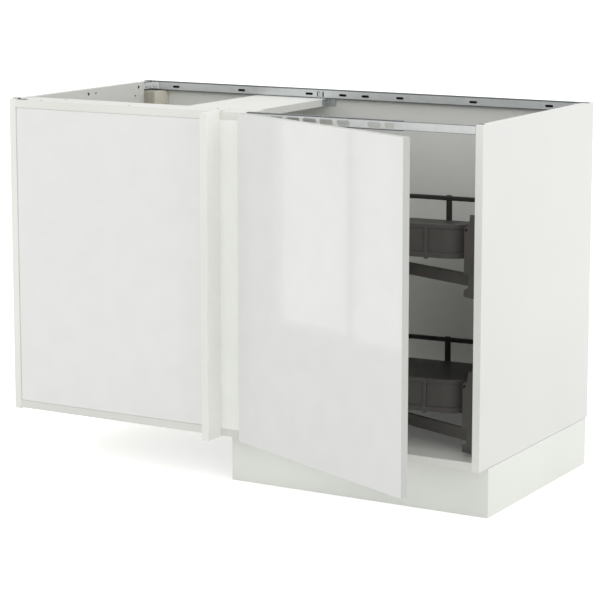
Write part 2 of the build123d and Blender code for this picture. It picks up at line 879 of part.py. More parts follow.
def tray_hub(level):
    """The plate and boss under the tray that turn on the arm's pin."""
    x, y = tray_pivot
    hub = prism((x, y, level - hub_plate), (0, 0, 1), hub_plate, hub_plate_radius, many_sides)
    low = level - arm_drop + side_gap
    hub += prism((x, y, low), (0, 0, 1), level - hub_plate - low, tray_hub_radius, many_sides)
    return hub - rod((x, y, level - arm_drop), (0, 0, 1), arm_drop - 1.0, tray_pin_radius + pin_fit)


def tray_pin(level):
    """The pin fixed in the arm's far end."""
    x, y = tray_pivot
    low = level - arm_drop - arm_height
    return rod((x, y, low), (0, 0, 1), arm_height + arm_drop - 2.0, tray_pin_radius)


def swing_arm(level):
    """The flat bar that swings from the side bracket, with a sleeve at each end."""
    high = level - arm_drop
    low = high - arm_height
    bar = block((0, arm_length), (-arm_thickness / 2, arm_thickness / 2), (low, high))
    arm = Pos(pivot_x, pivot_y, 0) * Rot(0, 0, arm_turn) * bar
    arm += prism((pivot_x, pivot_y, low), (0, 0, 1), arm_height, arm_hub_radius, many_sides)
    arm += prism((*tray_pivot, low), (0, 0, 1), arm_height, tray_hub_radius, many_sides)
    arm -= rod((pivot_x, pivot_y, low), (0, 0, 1), arm_height, pin_radius + pin_fit)
    return arm - rod((*tray_pivot, low), (0, 0, 1), arm_height, tray_pin_radius + pin_fit)


def side_bracket(level):
    """The folded bracket on the right side panel, with two lugs that hold the arm's pin."""
    high = level - arm_drop
    low = high - arm_height
    left = inner_right - bracket_width
    top = level + bracket_above
    bottom = level - bracket_below
    front = pivot_y - bracket_front
    notch = left + notch_depth
    outline = Polyline(
        (inner_right, bottom),
        (left, bottom + bracket_foot),
        (left, low - window_gap - notch_ramp),
        (notch, low - window_gap),
        (notch, high + window_gap),
        (left, high + window_gap),
        (left, level + bracket_corner),
        (left + bracket_shoulder[0], level + bracket_shoulder[1]),
        (left + bracket_slant, top),
        (inner_right, top),
        close=True,
    )
    plane = Plane(origin=(0, front, 0), x_dir=(1, 0, 0), z_dir=(0, -1, 0))
    bracket = extrude(plane * make_face(outline), -bracket_sheet)
    x_low, x_high, z_low_slot, z_high_slot = corner_slot
    bracket -= block(
        (left + x_low, left + x_high),
        (front - 1, front + bracket_sheet + 1),
        (level + z_low_slot, level + z_high_slot),
    )
    x = (inner_right - bracket_sheet, inner_right)
    bracket += block(x, (front, front + bracket_depth), (bottom, top))
    for z in (low - side_gap - lug_thickness, high + side_gap):
        lug = block((pivot_x - lug_reach, inner_right), (front, pivot_y + lug_reach), (z, z + lug_thickness))
        bracket += lug
    bracket -= rod((pivot_x, pivot_y, bottom), (0, 0, 1), top - bottom, pin_radius + pin_fit)
    for y, z in side_bracket_screw_places():
        if bottom < z < top:
            bracket -= screw_hole((inner_right - bracket_sheet - 1, y, z), (1, 0, 0), bracket_sheet + 2)
    return bracket


def arm_pin(level):
    """The pin that the arm swings on, held in the bracket's lugs."""
    high = level - arm_drop
    low = high - arm_height
    start = low - side_gap - lug_thickness - 2.0
    length = arm_height + 2 * (side_gap + lug_thickness) + 4.0
    return rod((pivot_x, pivot_y, start), (0, 0, 1), length, pin_radius)


def side_bracket_screws():
    """Screws that hold the fitting's brackets to the side panel."""
    x = inner_right - bracket_sheet
    seats = [(x, y, z) for y, z in side_bracket_screw_places()]
    return group(screw(seat, (1, 0, 0), small_screw_length + bracket_sheet) for seat in seats)


def swung(shape):
    """A door piece turned about the hinges' pivot line from closed to how the door stands."""
    pivot = Pos(*hinge_pivot, 0)
    return pivot * Rot(0, 0, -door_opened) * pivot.inverse() * shape


def cabinet():
    """Every piece of the cabinet by name, in the drawing's axes."""
    pieces = {}
    pieces["left_side_panel"], pieces["right_side_panel"] = side_panels()
    pieces["bottom_panel"] = bottom_panel()
    left, right, strip = back_panels()
    pieces["back_panel_left"] = left
    pieces["back_panel_right"] = right
    pieces["back_joining_strip"] = strip
    pieces["rear_corner_batten"] = rear_corner_batten()
    pieces["blind_front_panel"] = blind_front_panel()
    pieces["corner_post_board"], pieces["corner_filler_board"] = corner_boards()
    pieces["hinge_post"] = hinge_post()
    pieces["front_top_board"] = front_top_board()
    pieces["cross_board"] = cross_board()
    pieces["cross_board_bracket"] = cross_board_bracket()
    pieces["rear_rail_left"], pieces["rear_rail_right"] = rear_rails()
    pieces["rear_rail_joint_clip"] = rail_joint_clip()
    pieces["rear_rail_end_brackets"] = group([rear_end_bracket(inner_left, 1), rear_end_bracket(inner_right, -1)])
    pieces["front_rail_vented"], pieces["front_rail_plain"] = front_rails()
    pieces["front_rail_end_bracket"] = front_end_bracket()
    pieces["front_left_hook"] = front_left_hook()
    pieces["rail_screws"] = bracket_screws()
    pieces["top_board_screws"] = top_board_screws()
    pieces["filler_screws"] = filler_screws()
    pieces["panel_dowels"] = panel_dowels()
    pieces["plinth_front_board"], pieces["plinth_side_board"] = plinth_boards()
    pieces["plinth_clips"] = plinth_clips()
    pieces["leg_sockets"] = leg_sockets()
    pieces["leg_stems"] = leg_stems()
    pieces["leg_feet"] = leg_feet()
    pieces["door_panel"] = swung(closed_door())
    pieces["hinge_cups"] = swung(closed_hinge_cups())
    pieces["hinge_cup_screws"] = swung(closed_cup_screws())
    pieces["hinge_links"] = swung(closed_hinge_links())
    pieces["door_bumpers"] = swung(closed_bumpers())
    pieces["hinge_plates"] = hinge_plates()
    pieces["hinge_plate_screws"] = hinge_plate_screws()
    pieces["hinge_arms"] = hinge_arms()
    for name, level in tray_levels.items():
        pieces[name + "_side_bracket"] = side_bracket(level)
        pieces[name + "_arm_pin"] = arm_pin(level)
        pieces[name + "_swing_arm"] = swing_arm(level)
        pieces[name + "_tray_pin"] = tray_pin(level)
        pieces[name + "_tray_hub"] = tray_hub(level)
        pieces[name + "_tray_floor"] = tray_floor(level)
        pieces[name + "_tray_wall"] = tray_wall(level)
        pieces[name + "_tray_railing"] = tray_railing(level)
    pieces["side_bracket_screws"] = side_bracket_screws()
    return pieces


# The origin: the middle of the width, and the middle between the back and the door's free edge
turn = radians(door_opened)
door_tip_y = (
    hinge_pivot[1]
    + hinge_pivot_front * cos(turn)
    - (door_right - hinge_pivot[0]) * sin(turn)
)
origin_x = width / 2
origin_y = (depth + door_tip_y) / 2

for node, piece in cabinet().items():
    export_step(Pos(-origin_x, -origin_y, 0) * piece, f"parts/{node}.step")
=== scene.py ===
# %% [markdown]
# # A corner base cabinet with a swing-out fitting
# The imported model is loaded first. Every later piece and material is placed by it, in metres,
# with +Z up, +X to the right along the front and +Y towards the wall.

# %% Load the model
import bpy
import bmesh
import json
import math
import numpy as np
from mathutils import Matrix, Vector

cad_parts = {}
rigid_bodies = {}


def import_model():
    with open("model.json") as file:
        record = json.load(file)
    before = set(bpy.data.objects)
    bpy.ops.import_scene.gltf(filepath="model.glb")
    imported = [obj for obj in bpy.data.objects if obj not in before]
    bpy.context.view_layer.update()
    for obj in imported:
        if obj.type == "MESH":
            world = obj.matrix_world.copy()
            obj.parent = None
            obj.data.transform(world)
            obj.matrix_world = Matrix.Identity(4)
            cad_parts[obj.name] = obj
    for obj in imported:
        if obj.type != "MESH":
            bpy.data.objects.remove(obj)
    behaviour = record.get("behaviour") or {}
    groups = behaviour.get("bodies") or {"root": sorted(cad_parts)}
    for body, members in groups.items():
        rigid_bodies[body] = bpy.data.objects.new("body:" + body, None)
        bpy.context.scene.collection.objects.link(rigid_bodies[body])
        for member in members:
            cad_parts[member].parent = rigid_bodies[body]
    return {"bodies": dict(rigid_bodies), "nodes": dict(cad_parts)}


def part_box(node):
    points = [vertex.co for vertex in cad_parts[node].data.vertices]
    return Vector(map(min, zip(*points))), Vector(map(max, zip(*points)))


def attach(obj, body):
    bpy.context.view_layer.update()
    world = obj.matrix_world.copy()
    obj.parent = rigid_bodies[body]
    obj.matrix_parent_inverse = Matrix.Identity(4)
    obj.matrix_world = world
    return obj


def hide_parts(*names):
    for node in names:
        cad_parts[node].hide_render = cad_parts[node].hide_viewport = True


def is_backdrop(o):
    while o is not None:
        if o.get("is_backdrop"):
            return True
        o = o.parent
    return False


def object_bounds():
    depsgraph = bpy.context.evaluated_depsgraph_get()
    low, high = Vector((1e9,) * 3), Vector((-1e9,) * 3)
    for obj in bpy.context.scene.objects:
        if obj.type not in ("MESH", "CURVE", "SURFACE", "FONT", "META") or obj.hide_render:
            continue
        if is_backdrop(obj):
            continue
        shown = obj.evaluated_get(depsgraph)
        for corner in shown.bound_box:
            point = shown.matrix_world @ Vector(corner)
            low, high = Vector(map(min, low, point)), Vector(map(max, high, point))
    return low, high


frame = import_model()
nodes = frame["nodes"]
body_of_empty = {empty.name: body for body, empty in frame["bodies"].items()}
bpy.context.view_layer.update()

# %% [markdown]
# ## Colours and shader nodes
# Colours are written as sRGB hex, as read from a paint chart, and one function turns them into
# the linear values that shaders expect. A material is a net of nodes, so one small function
# adds a node with its settings and links. Patterns read Object coordinates, which are metres
# on the cabinet, so the scale of each pattern is one over a real size.

# %% Helpers for colours and shader nodes
MM = 0.001


def linear(code):
    """sRGB hex to linear RGBA: v/12.92 below 0.04045, else ((v + 0.055)/1.055) to the power 2.4."""
    parts = np.array([int(code[i:i + 2], 16) for i in (1, 3, 5)]) / 255
    values = np.where(parts <= 0.04045, parts / 12.92, ((parts + 0.055) / 1.055) ** 2.4)
    return (*values.tolist(), 1.0)


def wire(tree, node, values):
    """Fills inputs by name or number: a socket, or a node's first output, is linked."""
    for key, value in values.items():
        if isinstance(value, bpy.types.Node):
            value = value.outputs[0]
        if isinstance(value, bpy.types.NodeSocket):
            tree.links.new(value, node.inputs[key])
        else:
            node.inputs[key].default_value = value
    return node


def add(tree, kind, values=None, stops=(), **settings):
    """Adds a node, sets its properties and its ramp's colour stops, and fills its inputs."""
    made = tree.nodes.new("ShaderNode" + kind)
    for key, value in settings.items():
        setattr(made, key, value)
    for number, (position, code) in enumerate(stops):
        made.color_ramp.elements[number].position = position
        made.color_ramp.elements[number].color = linear(code)
    return wire(tree, made, values or {})


def new_material(name, **sockets):
    """A material with one Principled shader, whose plain values are set on its own sockets."""
    made = bpy.data.materials.new(name)
    made.use_nodes = True
    tree = made.node_tree
    shader = tree.nodes["Principled BSDF"]
    wire(tree, shader, {key.replace("_", " "): value for key, value in sockets.items()})
    return made, tree, shader


print("mid grey as a linear value", np.round(linear("#808080"), 3))

# %% [markdown]
# ## White board: melamine-faced chipboard
# The carcass boards are chipboard with a resin-soaked paper pressed on under a plate, which
# leaves a pearl texture and a satin sheen. The tone drifts a little over half a metre, and the
# pearl breaks up the highlight, so both go in as noise. Most of a noise lies between 0.3 and
# 0.7, so the ramps run over that part. A real pearl is about a millimetre across. It is drawn
# at 1.6 mm and more, because a finer one wouldn't show in the picture.

# %% Melamine-faced board
def melamine(name, low, high, pearl=1.6 * MM, depth=0.03 * MM, gloss=(0.36, 0.46)):
    """Satin white board: a slow drift of tone, and a pearl in its sheen and bump."""
    made, tree, shader = new_material(name, IOR=1.5)
    where = add(tree, "TexCoord").outputs["Object"]
    drift = add(tree, "TexNoise", {"Vector": where, "Scale": 1 / (400 * MM), "Detail": 1.0})
    grain = add(tree, "TexNoise", {"Vector": where, "Scale": 1 / pearl, "Detail": 3.0})
    tone = add(tree, "ValToRGB", {"Fac": drift}, stops=[(0.35, low), (0.65, high)])
    sheen = add(tree, "MapRange", {
        "Value": grain, "From Min": 0.3, "From Max": 0.7, "To Min": gloss[0], "To Max": gloss[1]})
    relief = add(tree, "Bump", {"Height": grain, "Distance": depth, "Strength": 0.5})
    wire(tree, shader, {"Base Color": tone, "Roughness": sheen, "Normal": relief})
    return made


# Each board has its own white. The top board's face and the top and bottom boards' bands are copies
# painted darker, as painted shade; the others differ a little in tone.
board_white = melamine("melamine_faced_board", "#E4E5E0", "#E8E9E4")
top_shaded_white = melamine("melamine_top_board_painted_shade", "#DFE0DB", "#E3E4DF")
side_white = melamine("melamine_side_panel", "#E0E1DE", "#E3E4E1")
plinth_white = melamine("foiled_plinth_board", "#E6E8E3", "#EAECE7", 2.2 * MM, gloss=(0.4, 0.52))
# Glued edge bands have a coarser and shallower grain than the faces.
band_grain = {"pearl": 2.5 * MM, "depth": 0.02 * MM}
board_band = melamine("edge_band_white", "#E7E8E3", "#EBECE7", gloss=(0.4, 0.5), **band_grain)
# The top and bottom boards' bands are painted darker: painted shade.
top_shaded_band = melamine("edge_band_top_board_painted_shade", "#E1E2DC", "#E5E6E0", gloss=(0.4, 0.5), **band_grain)
low_shaded_band = melamine("edge_band_bottom_board_painted_shade", "#DCDDD8", "#E1E2DD", gloss=(0.4, 0.5), **band_grain)
front_band = melamine("edge_band_front", "#C2C3BF", "#C7C8C4", gloss=(0.34, 0.44), **band_grain)
print("white boards and bands", len(bpy.data.materials))

# %% [markdown]
# ## Hardboard back
# The back is thin hardboard, lacquered where it shows. Behind the rail a strip is painted
# near-black brown, as painted shade, so the rail's slots look dark. Two steps on the object's own
# height and depth mark that strip.

# %% Hardboard back
rail_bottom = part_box("rear_rail_left")[0][2]
back_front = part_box("back_panel_left")[0][1]


def hardboard(name, low, high, painted_shade):
    """Lacquered hardboard, with painted shade: dark brown in the strip behind the rail."""
    made = melamine(name, low, high, 3 * MM, 0.05 * MM, (0.5, 0.62))
    tree = made.node_tree
    shader = tree.nodes["Principled BSDF"]
    lacquer = shader.inputs["Base Color"].links[0].from_socket
    axes = add(tree, "SeparateXYZ", {0: add(tree, "TexCoord").outputs["Object"]}).outputs
    above = add(tree, "Math", {0: axes["Z"], 1: rail_bottom + 1 * MM}, operation="GREATER_THAN")
    front = add(tree, "Math", {0: axes["Y"], 1: back_front + 0.5 * MM}, operation="LESS_THAN")
    strip = add(tree, "Math", {0: above, 1: front}, operation="MULTIPLY")
    mixed = add(tree, "Mix", {"Factor": strip, "A": lacquer, "B": linear(painted_shade)}, data_type="RGBA")
    wire(tree, shader, {"Base Color": mixed.outputs["Result"]})
    return made


# The last colour is painted shade for the strip behind the rail.
back_white = hardboard("lacquered_hardboard_back_painted_shade", "#DFE0DB", "#E5E6E1", "#2E2721")
print("raw above", round(rail_bottom, 4), "and before", round(back_front, 4))

# %% [markdown]
# ## Chipboard core
# Where a board is drilled, the pressed chips show: brown flakes of two or three millimetres,
# which lie flat, so the pattern is squashed in height.

# %% Chipboard core
board_core, core_tree, core_shader = new_material("raw_chipboard_core", IOR=1.5, Roughness=0.85)
core_place = add(core_tree, "TexCoord").outputs["Object"]
flat_place = add(core_tree, "Mapping", {"Vector": core_place, "Scale": (1, 1, 3)})
chips = add(core_tree, "TexVoronoi", {"Vector": flat_place, "Scale": 1 / (2.5 * MM)})
chip_tone = add(core_tree, "RGBToBW", {0: chips.outputs["Color"]})
chip_colour = add(core_tree, "ValToRGB", {"Fac": chip_tone}, stops=[(0, "#5E5140"), (1, "#9A8768")])
chip_relief = add(core_tree, "Bump", {"Height": chip_tone, "Distance": 0.3 * MM, "Strength": 0.5})
wire(core_tree, core_shader, {"Base Color": chip_colour, "Normal": chip_relief})
print("core nodes", len(core_tree.nodes))

# %% [markdown]
# ## Gloss front: lacquered foil on fibreboard
# The door, the blind panel and the return boards have a hard clear skin, which mirrors the
# room faintly. A real sheet is never dead flat: a swell of a few centimetres and a fine orange
# peel bend the reflections a little. The peel is drawn at 5 mm, coarser than the real one of
# about 2 mm, because that wouldn't show in the picture.

# %% Gloss fronts
def gloss_front(name, low, high, roughness, uneven):
    """Gloss white skin over a swell of 60 mm and an orange peel of 5 mm."""
    made, tree, shader = new_material(name, IOR=1.5)
    where = add(tree, "TexCoord").outputs["Object"]
    swell = add(tree, "TexNoise", {"Vector": where, "Scale": 1 / (60 * MM), "Detail": 1.0})
    peel = add(tree, "TexNoise", {"Vector": where, "Scale": 1 / (5 * MM), "Detail": 2.0})
    tone = add(tree, "ValToRGB", {"Fac": swell}, stops=[(0.35, low), (0.65, high)])
    sheen = add(tree, "MapRange", {
        "Value": peel, "From Min": 0.3, "From Max": 0.7,
        "To Min": roughness * 0.8, "To Max": roughness * 1.2})
    wave = add(tree, "Bump", {
        "Height": swell, "Distance": 0.02 * MM, "Strength": 0.5 * uneven})
    skin = add(tree, "Bump", {
        "Height": peel, "Distance": 0.003 * MM, "Strength": 0.4 * uneven, "Normal": wave})
    wire(tree, shader, {"Base Color": tone, "Roughness": sheen, "Normal": skin})
    return made


front_gloss = gloss_front("lacquered_foil_front", "#E1E2E1", "#E3E4E3", 0.05, 0.6)
blind_gloss = gloss_front("lacquered_foil_panel", "#E8E9E7", "#EAEBE9", 0.20, 0.6)
# The post and return boards' copies are painted near white, as painted light on their sides.
post_gloss_lit = gloss_front("lacquered_foil_post_painted_light", "#FAFBF7", "#FCFDF9", 0.34, 0.2)
edge_gloss_lit = gloss_front("lacquered_foil_return_painted_light", "#F9FAF6", "#FBFCF8", 0.34, 0.2)
print("gloss fronts", [made.name for made in (front_gloss, blind_gloss, post_gloss_lit, edge_gloss_lit)])

# %% [markdown]
# ## Galvanised sheet
# The rails and their brackets are cold-rolled strip with a hot-dip zinc coat: crystals about
# a centimetre across, each with its own grey, and fine rolling lines along the strip.

# %% Galvanised sheet and plated steel
def galvanised(name, low, high, spangle=9 * MM, gloss=(0.36, 0.46), rolled=(1, 30, 30), shaded_folds=()):
    """Zinc: crystals of a centimetre by a Voronoi pattern, crossed by rolling lines. At each fold's
    height a darker line about 3 mm wide is painted in, as painted shade at the rail's edge."""
    made, tree, shader = new_material(name, Metallic=1.0)
    where = add(tree, "TexCoord").outputs["Object"]
    cells = add(tree, "TexVoronoi", {"Vector": where, "Scale": 1 / spangle})
    grey = add(tree, "RGBToBW", {0: cells.outputs["Color"]})
    along = add(tree, "Mapping", {"Vector": where, "Scale": rolled})
    lines = add(tree, "TexNoise", {"Vector": along, "Scale": 1 / (12 * MM), "Detail": 3.0})
    mixed = add(tree, "Math", {0: grey, 1: lines}, operation="ADD")
    colour = add(tree, "ValToRGB", {"Fac": mixed}, stops=[(0.5, low), (1.0, high)]).outputs[0]
    for fold in shaded_folds:
        up = add(tree, "SeparateXYZ", {0: where}).outputs["Z"]
        above = add(tree, "Math", {0: up, 1: fold}, operation="SUBTRACT")
        away = add(tree, "Math", {0: above}, operation="ABSOLUTE")
        near = add(tree, "MapRange", {
            "Value": away, "From Min": 1.6 * MM, "From Max": 3.4 * MM,
            "To Min": 0.9, "To Max": 0.0})
        # Painted shade: a dark grey line about 3 mm wide at this fold's height.
        fold_shade = add(tree, "Mix", {
            "Factor": near, "A": colour, "B": linear("#53585B")}, data_type="RGBA")
        colour = fold_shade.outputs["Result"]
    sheen = add(tree, "MapRange", {
        "Value": mixed, "From Min": 0.5, "From Max": 1.4, "To Min": gloss[0], "To Max": gloss[1]})
    relief = add(tree, "Bump", {"Height": lines, "Distance": 0.02 * MM, "Strength": 0.4})
    wire(tree, shader, {"Base Color": colour, "Roughness": sheen, "Normal": relief})
    return made


# The rails' top and bottom heights, where the painted shade lines go.
rear_shaded_folds = [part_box("rear_rail_left")[k][2] for k in (0, 1)]
front_shaded_folds = [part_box("front_rail_vented")[k][2] for k in (0, 1)]
zinc_sheet = galvanised("galvanised_steel_sheet", "#BDC1C2", "#C5C8C9")
zinc_rear = galvanised("galvanised_steel_strip", "#C5C9CA", "#CCCFD0", shaded_folds=rear_shaded_folds)
# Painted light: the front copy is painted far lighter than the sheet, for the light on the front
# rail and the brackets.
zinc_painted_lit = galvanised("galvanised_steel_painted_lit", "#ECEFEF", "#F1F3F3", shaded_folds=front_shaded_folds)
zinc_screw = galvanised(
    "zinc_plated_screw", "#C4C6C6", "#DADBDA", 3 * MM, (0.22, 0.34), (20, 20, 20))
nickel = galvanised("nickel_plated_hinge", "#BEBBB5", "#D2CFC9", 20 * MM, (0.16, 0.26), (8, 8, 1))
pin_steel = galvanised("ground_pin_steel", "#A9A9A8", "#C6C6C5", 15 * MM, (0.18, 0.3), (30, 30, 1))
print("folds at heights", np.round([*rear_shaded_folds, *front_shaded_folds], 4))

# %% [markdown]
# ## Anthracite fitting
# The brackets, arms and railings are powder coated: the powder melts into a skin with an
# orange peel of about a millimetre. The tray walls are moulded from ABS in an eroded mould,
# which gives a finer and duller grain. The tray boards carry a dark foil.

# %% Anthracite finishes
def dark_skin(name, low, high, grain, depth, gloss):
    """Dark skin: tone and sheen follow a slow drift plus the grain, and the bump the grain."""
    made, tree, shader = new_material(name, IOR=1.5)
    where = add(tree, "TexCoord").outputs["Object"]
    drift = add(tree, "TexNoise", {"Vector": where, "Scale": 1 / (120 * MM), "Detail": 2.0})
    fine = add(tree, "TexNoise", {"Vector": where, "Scale": 1 / grain, "Detail": 2.0})
    both = add(tree, "Math", {0: drift, 1: fine}, operation="ADD")
    tone = add(tree, "ValToRGB", {"Fac": both}, stops=[(0.7, low), (1.0, high)])
    sheen = add(tree, "MapRange", {
        "Value": both, "From Min": 0.7, "From Max": 1.3, "To Min": gloss[0], "To Max": gloss[1]})
    relief = add(tree, "Bump", {"Height": fine, "Distance": depth, "Strength": 0.6})
    wire(tree, shader, {"Base Color": tone, "Roughness": sheen, "Normal": relief})
    return made


powder_coat = dark_skin(
    "powder_coated_steel", "#44413E", "#504D4A", 1.2 * MM, 0.06 * MM, (0.38, 0.5))
railing_coat = dark_skin(
    "powder_coated_railing", "#292826", "#33312F", 1.2 * MM, 0.06 * MM, (0.42, 0.55))
moulded_abs = dark_skin("moulded_abs", "#403D3A", "#494643", 0.8 * MM, 0.05 * MM, (0.5, 0.62))
dark_foil = dark_skin("foiled_tray_board", "#2B2A27", "#33312E", 1.5 * MM, 0.03 * MM, (0.42, 0.55))
print("anthracite", [made.name for made in (powder_coat, railing_coat, moulded_abs, dark_foil)])

# %% [markdown]
# ## Wood, plastic and rubber
# The rear batten is unfinished spruce gone grey, with growth lines along its length; its right side
# is painted paler, as painted light on the side that faces the light. The dowels are beech. The
# legs are moulded polypropylene, and the door's bumpers are clear soft plastic.

# %% Wood
def wood(name, low, high, line, stretch):
    """Wood: noise drawn out along the grain, with pores of a third of the line's width."""
    made, tree, shader = new_material(name, IOR=1.5)
    where = add(tree, "TexCoord").outputs["Object"]
    along = add(tree, "Mapping", {"Vector": where, "Scale": stretch})
    rings = add(tree, "TexNoise", {
        "Vector": along, "Scale": 1 / line, "Detail": 4.0, "Roughness": 0.6})
    pores = add(tree, "TexNoise", {"Vector": along, "Scale": 3 / line, "Detail": 2.0})
    tone = add(tree, "ValToRGB", {"Fac": rings}, stops=[(0.35, low), (0.65, high)])
    sheen = add(tree, "MapRange", {
        "Value": pores, "From Min": 0.3, "From Max": 0.7, "To Min": 0.6, "To Max": 0.8})
    relief = add(tree, "Bump", {"Height": pores, "Distance": 0.1 * MM, "Strength": 0.6})
    wire(tree, shader, {"Base Color": tone, "Roughness": sheen, "Normal": relief})
    return made


raw_batten = wood("raw_spruce_batten", "#ABA79B", "#BDB9AD", 5 * MM, (1, 1, 0.06))
batten_tree = raw_batten.node_tree
batten_shader = batten_tree.nodes["Principled BSDF"]
wood_tone = batten_shader.inputs["Base Color"].links[0].from_socket
batten_place = add(batten_tree, "TexCoord").outputs["Object"]
# Painted light: from 31 mm right of the batten's left face it is painted paler, for the light on
# its right side.
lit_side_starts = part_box("rear_corner_batten")[0][0] + 31 * MM
lit_side = add(batten_tree, "MapRange", {
    "Value": add(batten_tree, "SeparateXYZ", {0: batten_place}).outputs["X"],
    "From Min": lit_side_starts, "From Max": lit_side_starts + 2 * MM})
lit_side_colour = add(batten_tree, "Mix", {
    "Factor": lit_side, "A": wood_tone, "B": linear("#DEDACB")}, data_type="RGBA")
wire(batten_tree, batten_shader, {"Base Color": lit_side_colour.outputs["Result"]})
beech = wood("beech_dowel", "#B08A5E", "#CBA77B", 1.5 * MM, (0.06, 1, 1))
print("sapwood from", round(lit_side_starts, 4))

# %% Plastic and rubber
leg_plastic = dark_skin(
    "moulded_polypropylene", "#2E2E2E", "#383838", 1.0 * MM, 0.04 * MM, (0.4, 0.52))
clip_plastic = dark_skin("moulded_clip", "#8E8E8C", "#9C9C9A", 1.0 * MM, 0.04 * MM, (0.4, 0.5))
strip_plastic = melamine(
    "extruded_joining_strip", "#DCDDD8", "#E2E3DE", 2 * MM, 0.02 * MM, (0.3, 0.4))
bumper_rubber, bumper_tree, bumper_shader = new_material(
    "clear_soft_bumper", IOR=1.49, Transmission_Weight=0.6)
bumper_haze = add(bumper_tree, "TexNoise", {
    "Vector": add(bumper_tree, "TexCoord").outputs["Object"], "Scale": 1 / (2 * MM)})
wire(bumper_tree, bumper_shader, {
    "Base Color": add(
        bumper_tree, "ValToRGB", {"Fac": bumper_haze}, stops=[(0, "#D6D6D4"), (1, "#E8E8E6")]),
    "Roughness": add(
        bumper_tree, "MapRange", {"Value": bumper_haze, "To Min": 0.3, "To Max": 0.5})})
print("materials so far", len(bpy.data.materials))

# %% [markdown]
# ## Which piece has which finish
# A piece of the model whose shape is right keeps it and only gets its finish. Pieces that a
# later cell replaces with a finer mesh get theirs here too, so the table covers every node.

# %% Assign finishes to the model's pieces
both_levels = ("upper_", "lower_")
finishes = {
    board_white: [
        "left_side_panel", "right_side_panel", "bottom_panel", "hinge_post", "cross_board"],
    # The top board's darker copy: painted shade.
    top_shaded_white: ["front_top_board"],
    back_white: ["back_panel_left", "back_panel_right"],
    plinth_white: ["plinth_front_board", "plinth_side_board"],
    front_gloss: ["door_panel"],
    blind_gloss: ["blind_front_panel"],
    # Copies painted lighter: painted light.
    post_gloss_lit: ["corner_post_board"],
    edge_gloss_lit: ["corner_filler_board"],
    zinc_sheet: [
        "rear_rail_left", "rear_rail_right", "rear_rail_joint_clip", "rear_rail_end_brackets",
        "front_rail_vented", "front_rail_plain", "front_rail_end_bracket", "front_left_hook",
        "cross_board_bracket"],
    zinc_screw: ["rail_screws", "top_board_screws", "filler_screws", "side_bracket_screws"],
    nickel: [
        "hinge_cups", "hinge_cup_screws", "hinge_plates", "hinge_plate_screws", "hinge_arms",
        "hinge_links"],
    powder_coat: [
        level + name for level in both_levels
        for name in ("side_bracket", "swing_arm", "tray_hub")],
    railing_coat: [level + "tray_railing" for level in both_levels],
    moulded_abs: [level + "tray_wall" for level in both_levels],
    dark_foil: [level + "tray_floor" for level in both_levels],
    pin_steel: [level + name for level in both_levels for name in ("arm_pin", "tray_pin")],
    raw_batten: ["rear_corner_batten"],
    beech: ["panel_dowels"],
    leg_plastic: ["leg_sockets", "leg_stems", "leg_feet"],
    clip_plastic: ["plinth_clips"],
    strip_plastic: ["back_joining_strip"],
    bumper_rubber: ["door_bumpers"],
}
for material, names in finishes.items():
    for name in names:
        for slot in nodes[name].material_slots:
            slot.material = material
print("finished", sum(len(names) for names in finishes.values()), "of", len(nodes), "nodes")

# %% [markdown]
# ## Meshes from arrays
# Every new surface is worked out as whole arrays and joined into one mesh. Merging the points
# that meet closes seams and poles, and the faces are then turned outwards. Normals weighted by
# face size keep the large faces flat beside their rounded edges.

# %% Surfaces from arrays
def grid_faces(rows, columns, wrap=False):
    """Quads between neighbours of a grid of points; with wrap the last column meets the first."""
    across = columns if wrap else columns - 1
    row, column = np.meshgrid(np.arange(rows - 1), np.arange(across), indexing="ij")
    after = (column + 1) % columns
    first, second = row * columns + column, row * columns + after
    quads = np.stack((first, second, second + columns, first + columns), -1)
    return quads.reshape(-1, 4).tolist()


def joined(parts):
    """Several surfaces, each points and faces, as one list of points and one of faces."""
    points, faces, start = [], [], 0
    for part_points, part_faces in parts:
        points.append(part_points)
        faces += [[corner + start for corner in face] for face in part_faces]
        start += len(part_points)
    return np.concatenate(points), faces


print("a grid of 3 by 4 points has", len(grid_faces(3, 4)), "faces")


# %% From surfaces to pieces
def shown(mesh, name, body, replaced, materials):
    """Puts a mesh in the scene as a piece that rides on a body and stands for nodes."""
    for material in materials:
        mesh.materials.append(material)
    made = bpy.data.objects.new(name, mesh)
    bpy.context.scene.collection.objects.link(made)
    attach(made, body)
    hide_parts(*replaced)
    return made


def keep_flat(made):
    """Weights the normals by face size, and leaves the sharp edges sharp."""
    flat = made.modifiers.new("flat_faces_stay_flat", "WEIGHTED_NORMAL")
    flat.weight = 100
    flat.keep_sharp = True


def piece(name, body, replaced, material, parts, crease=38):
    """A piece from arrays of points in metres: merged, turned outwards, smooth up to a crease."""
    points, faces = joined(parts)
    mesh = bpy.data.meshes.new(name)
    mesh.from_pydata(points.tolist(), [], faces)
    shell = bmesh.new()
    shell.from_mesh(mesh)
    bmesh.ops.remove_doubles(shell, verts=shell.verts, dist=0.002 * MM)
    bmesh.ops.dissolve_degenerate(shell, edges=shell.edges, dist=0.001 * MM)
    bmesh.ops.recalc_face_normals(shell, faces=shell.faces)
    shell.to_mesh(mesh)
    shell.free()
    mesh.polygons.foreach_set("use_smooth", np.ones(len(mesh.polygons), bool))
    mesh.set_sharp_from_angle(angle=math.radians(crease))
    keep_flat(shown(mesh, name, body, replaced, [material]))
    print(name, len(mesh.polygons), "faces")


# %% [markdown]
# ## Places in the cabinet
# The cabinet is measured from the outer front corner of its left side panel, in millimetres:
# to the right, back and up. One function turns such a place into the frame's metres. The door
# stands a little open, so its own pieces are turned about the hinge line with it.

# %% Places and the door's turn
left_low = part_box("left_side_panel")[0]
front_corner = np.array([left_low[0], left_low[1], 0.0])
door_opened = 24.8
hinge_line = (651.0, -36.0)


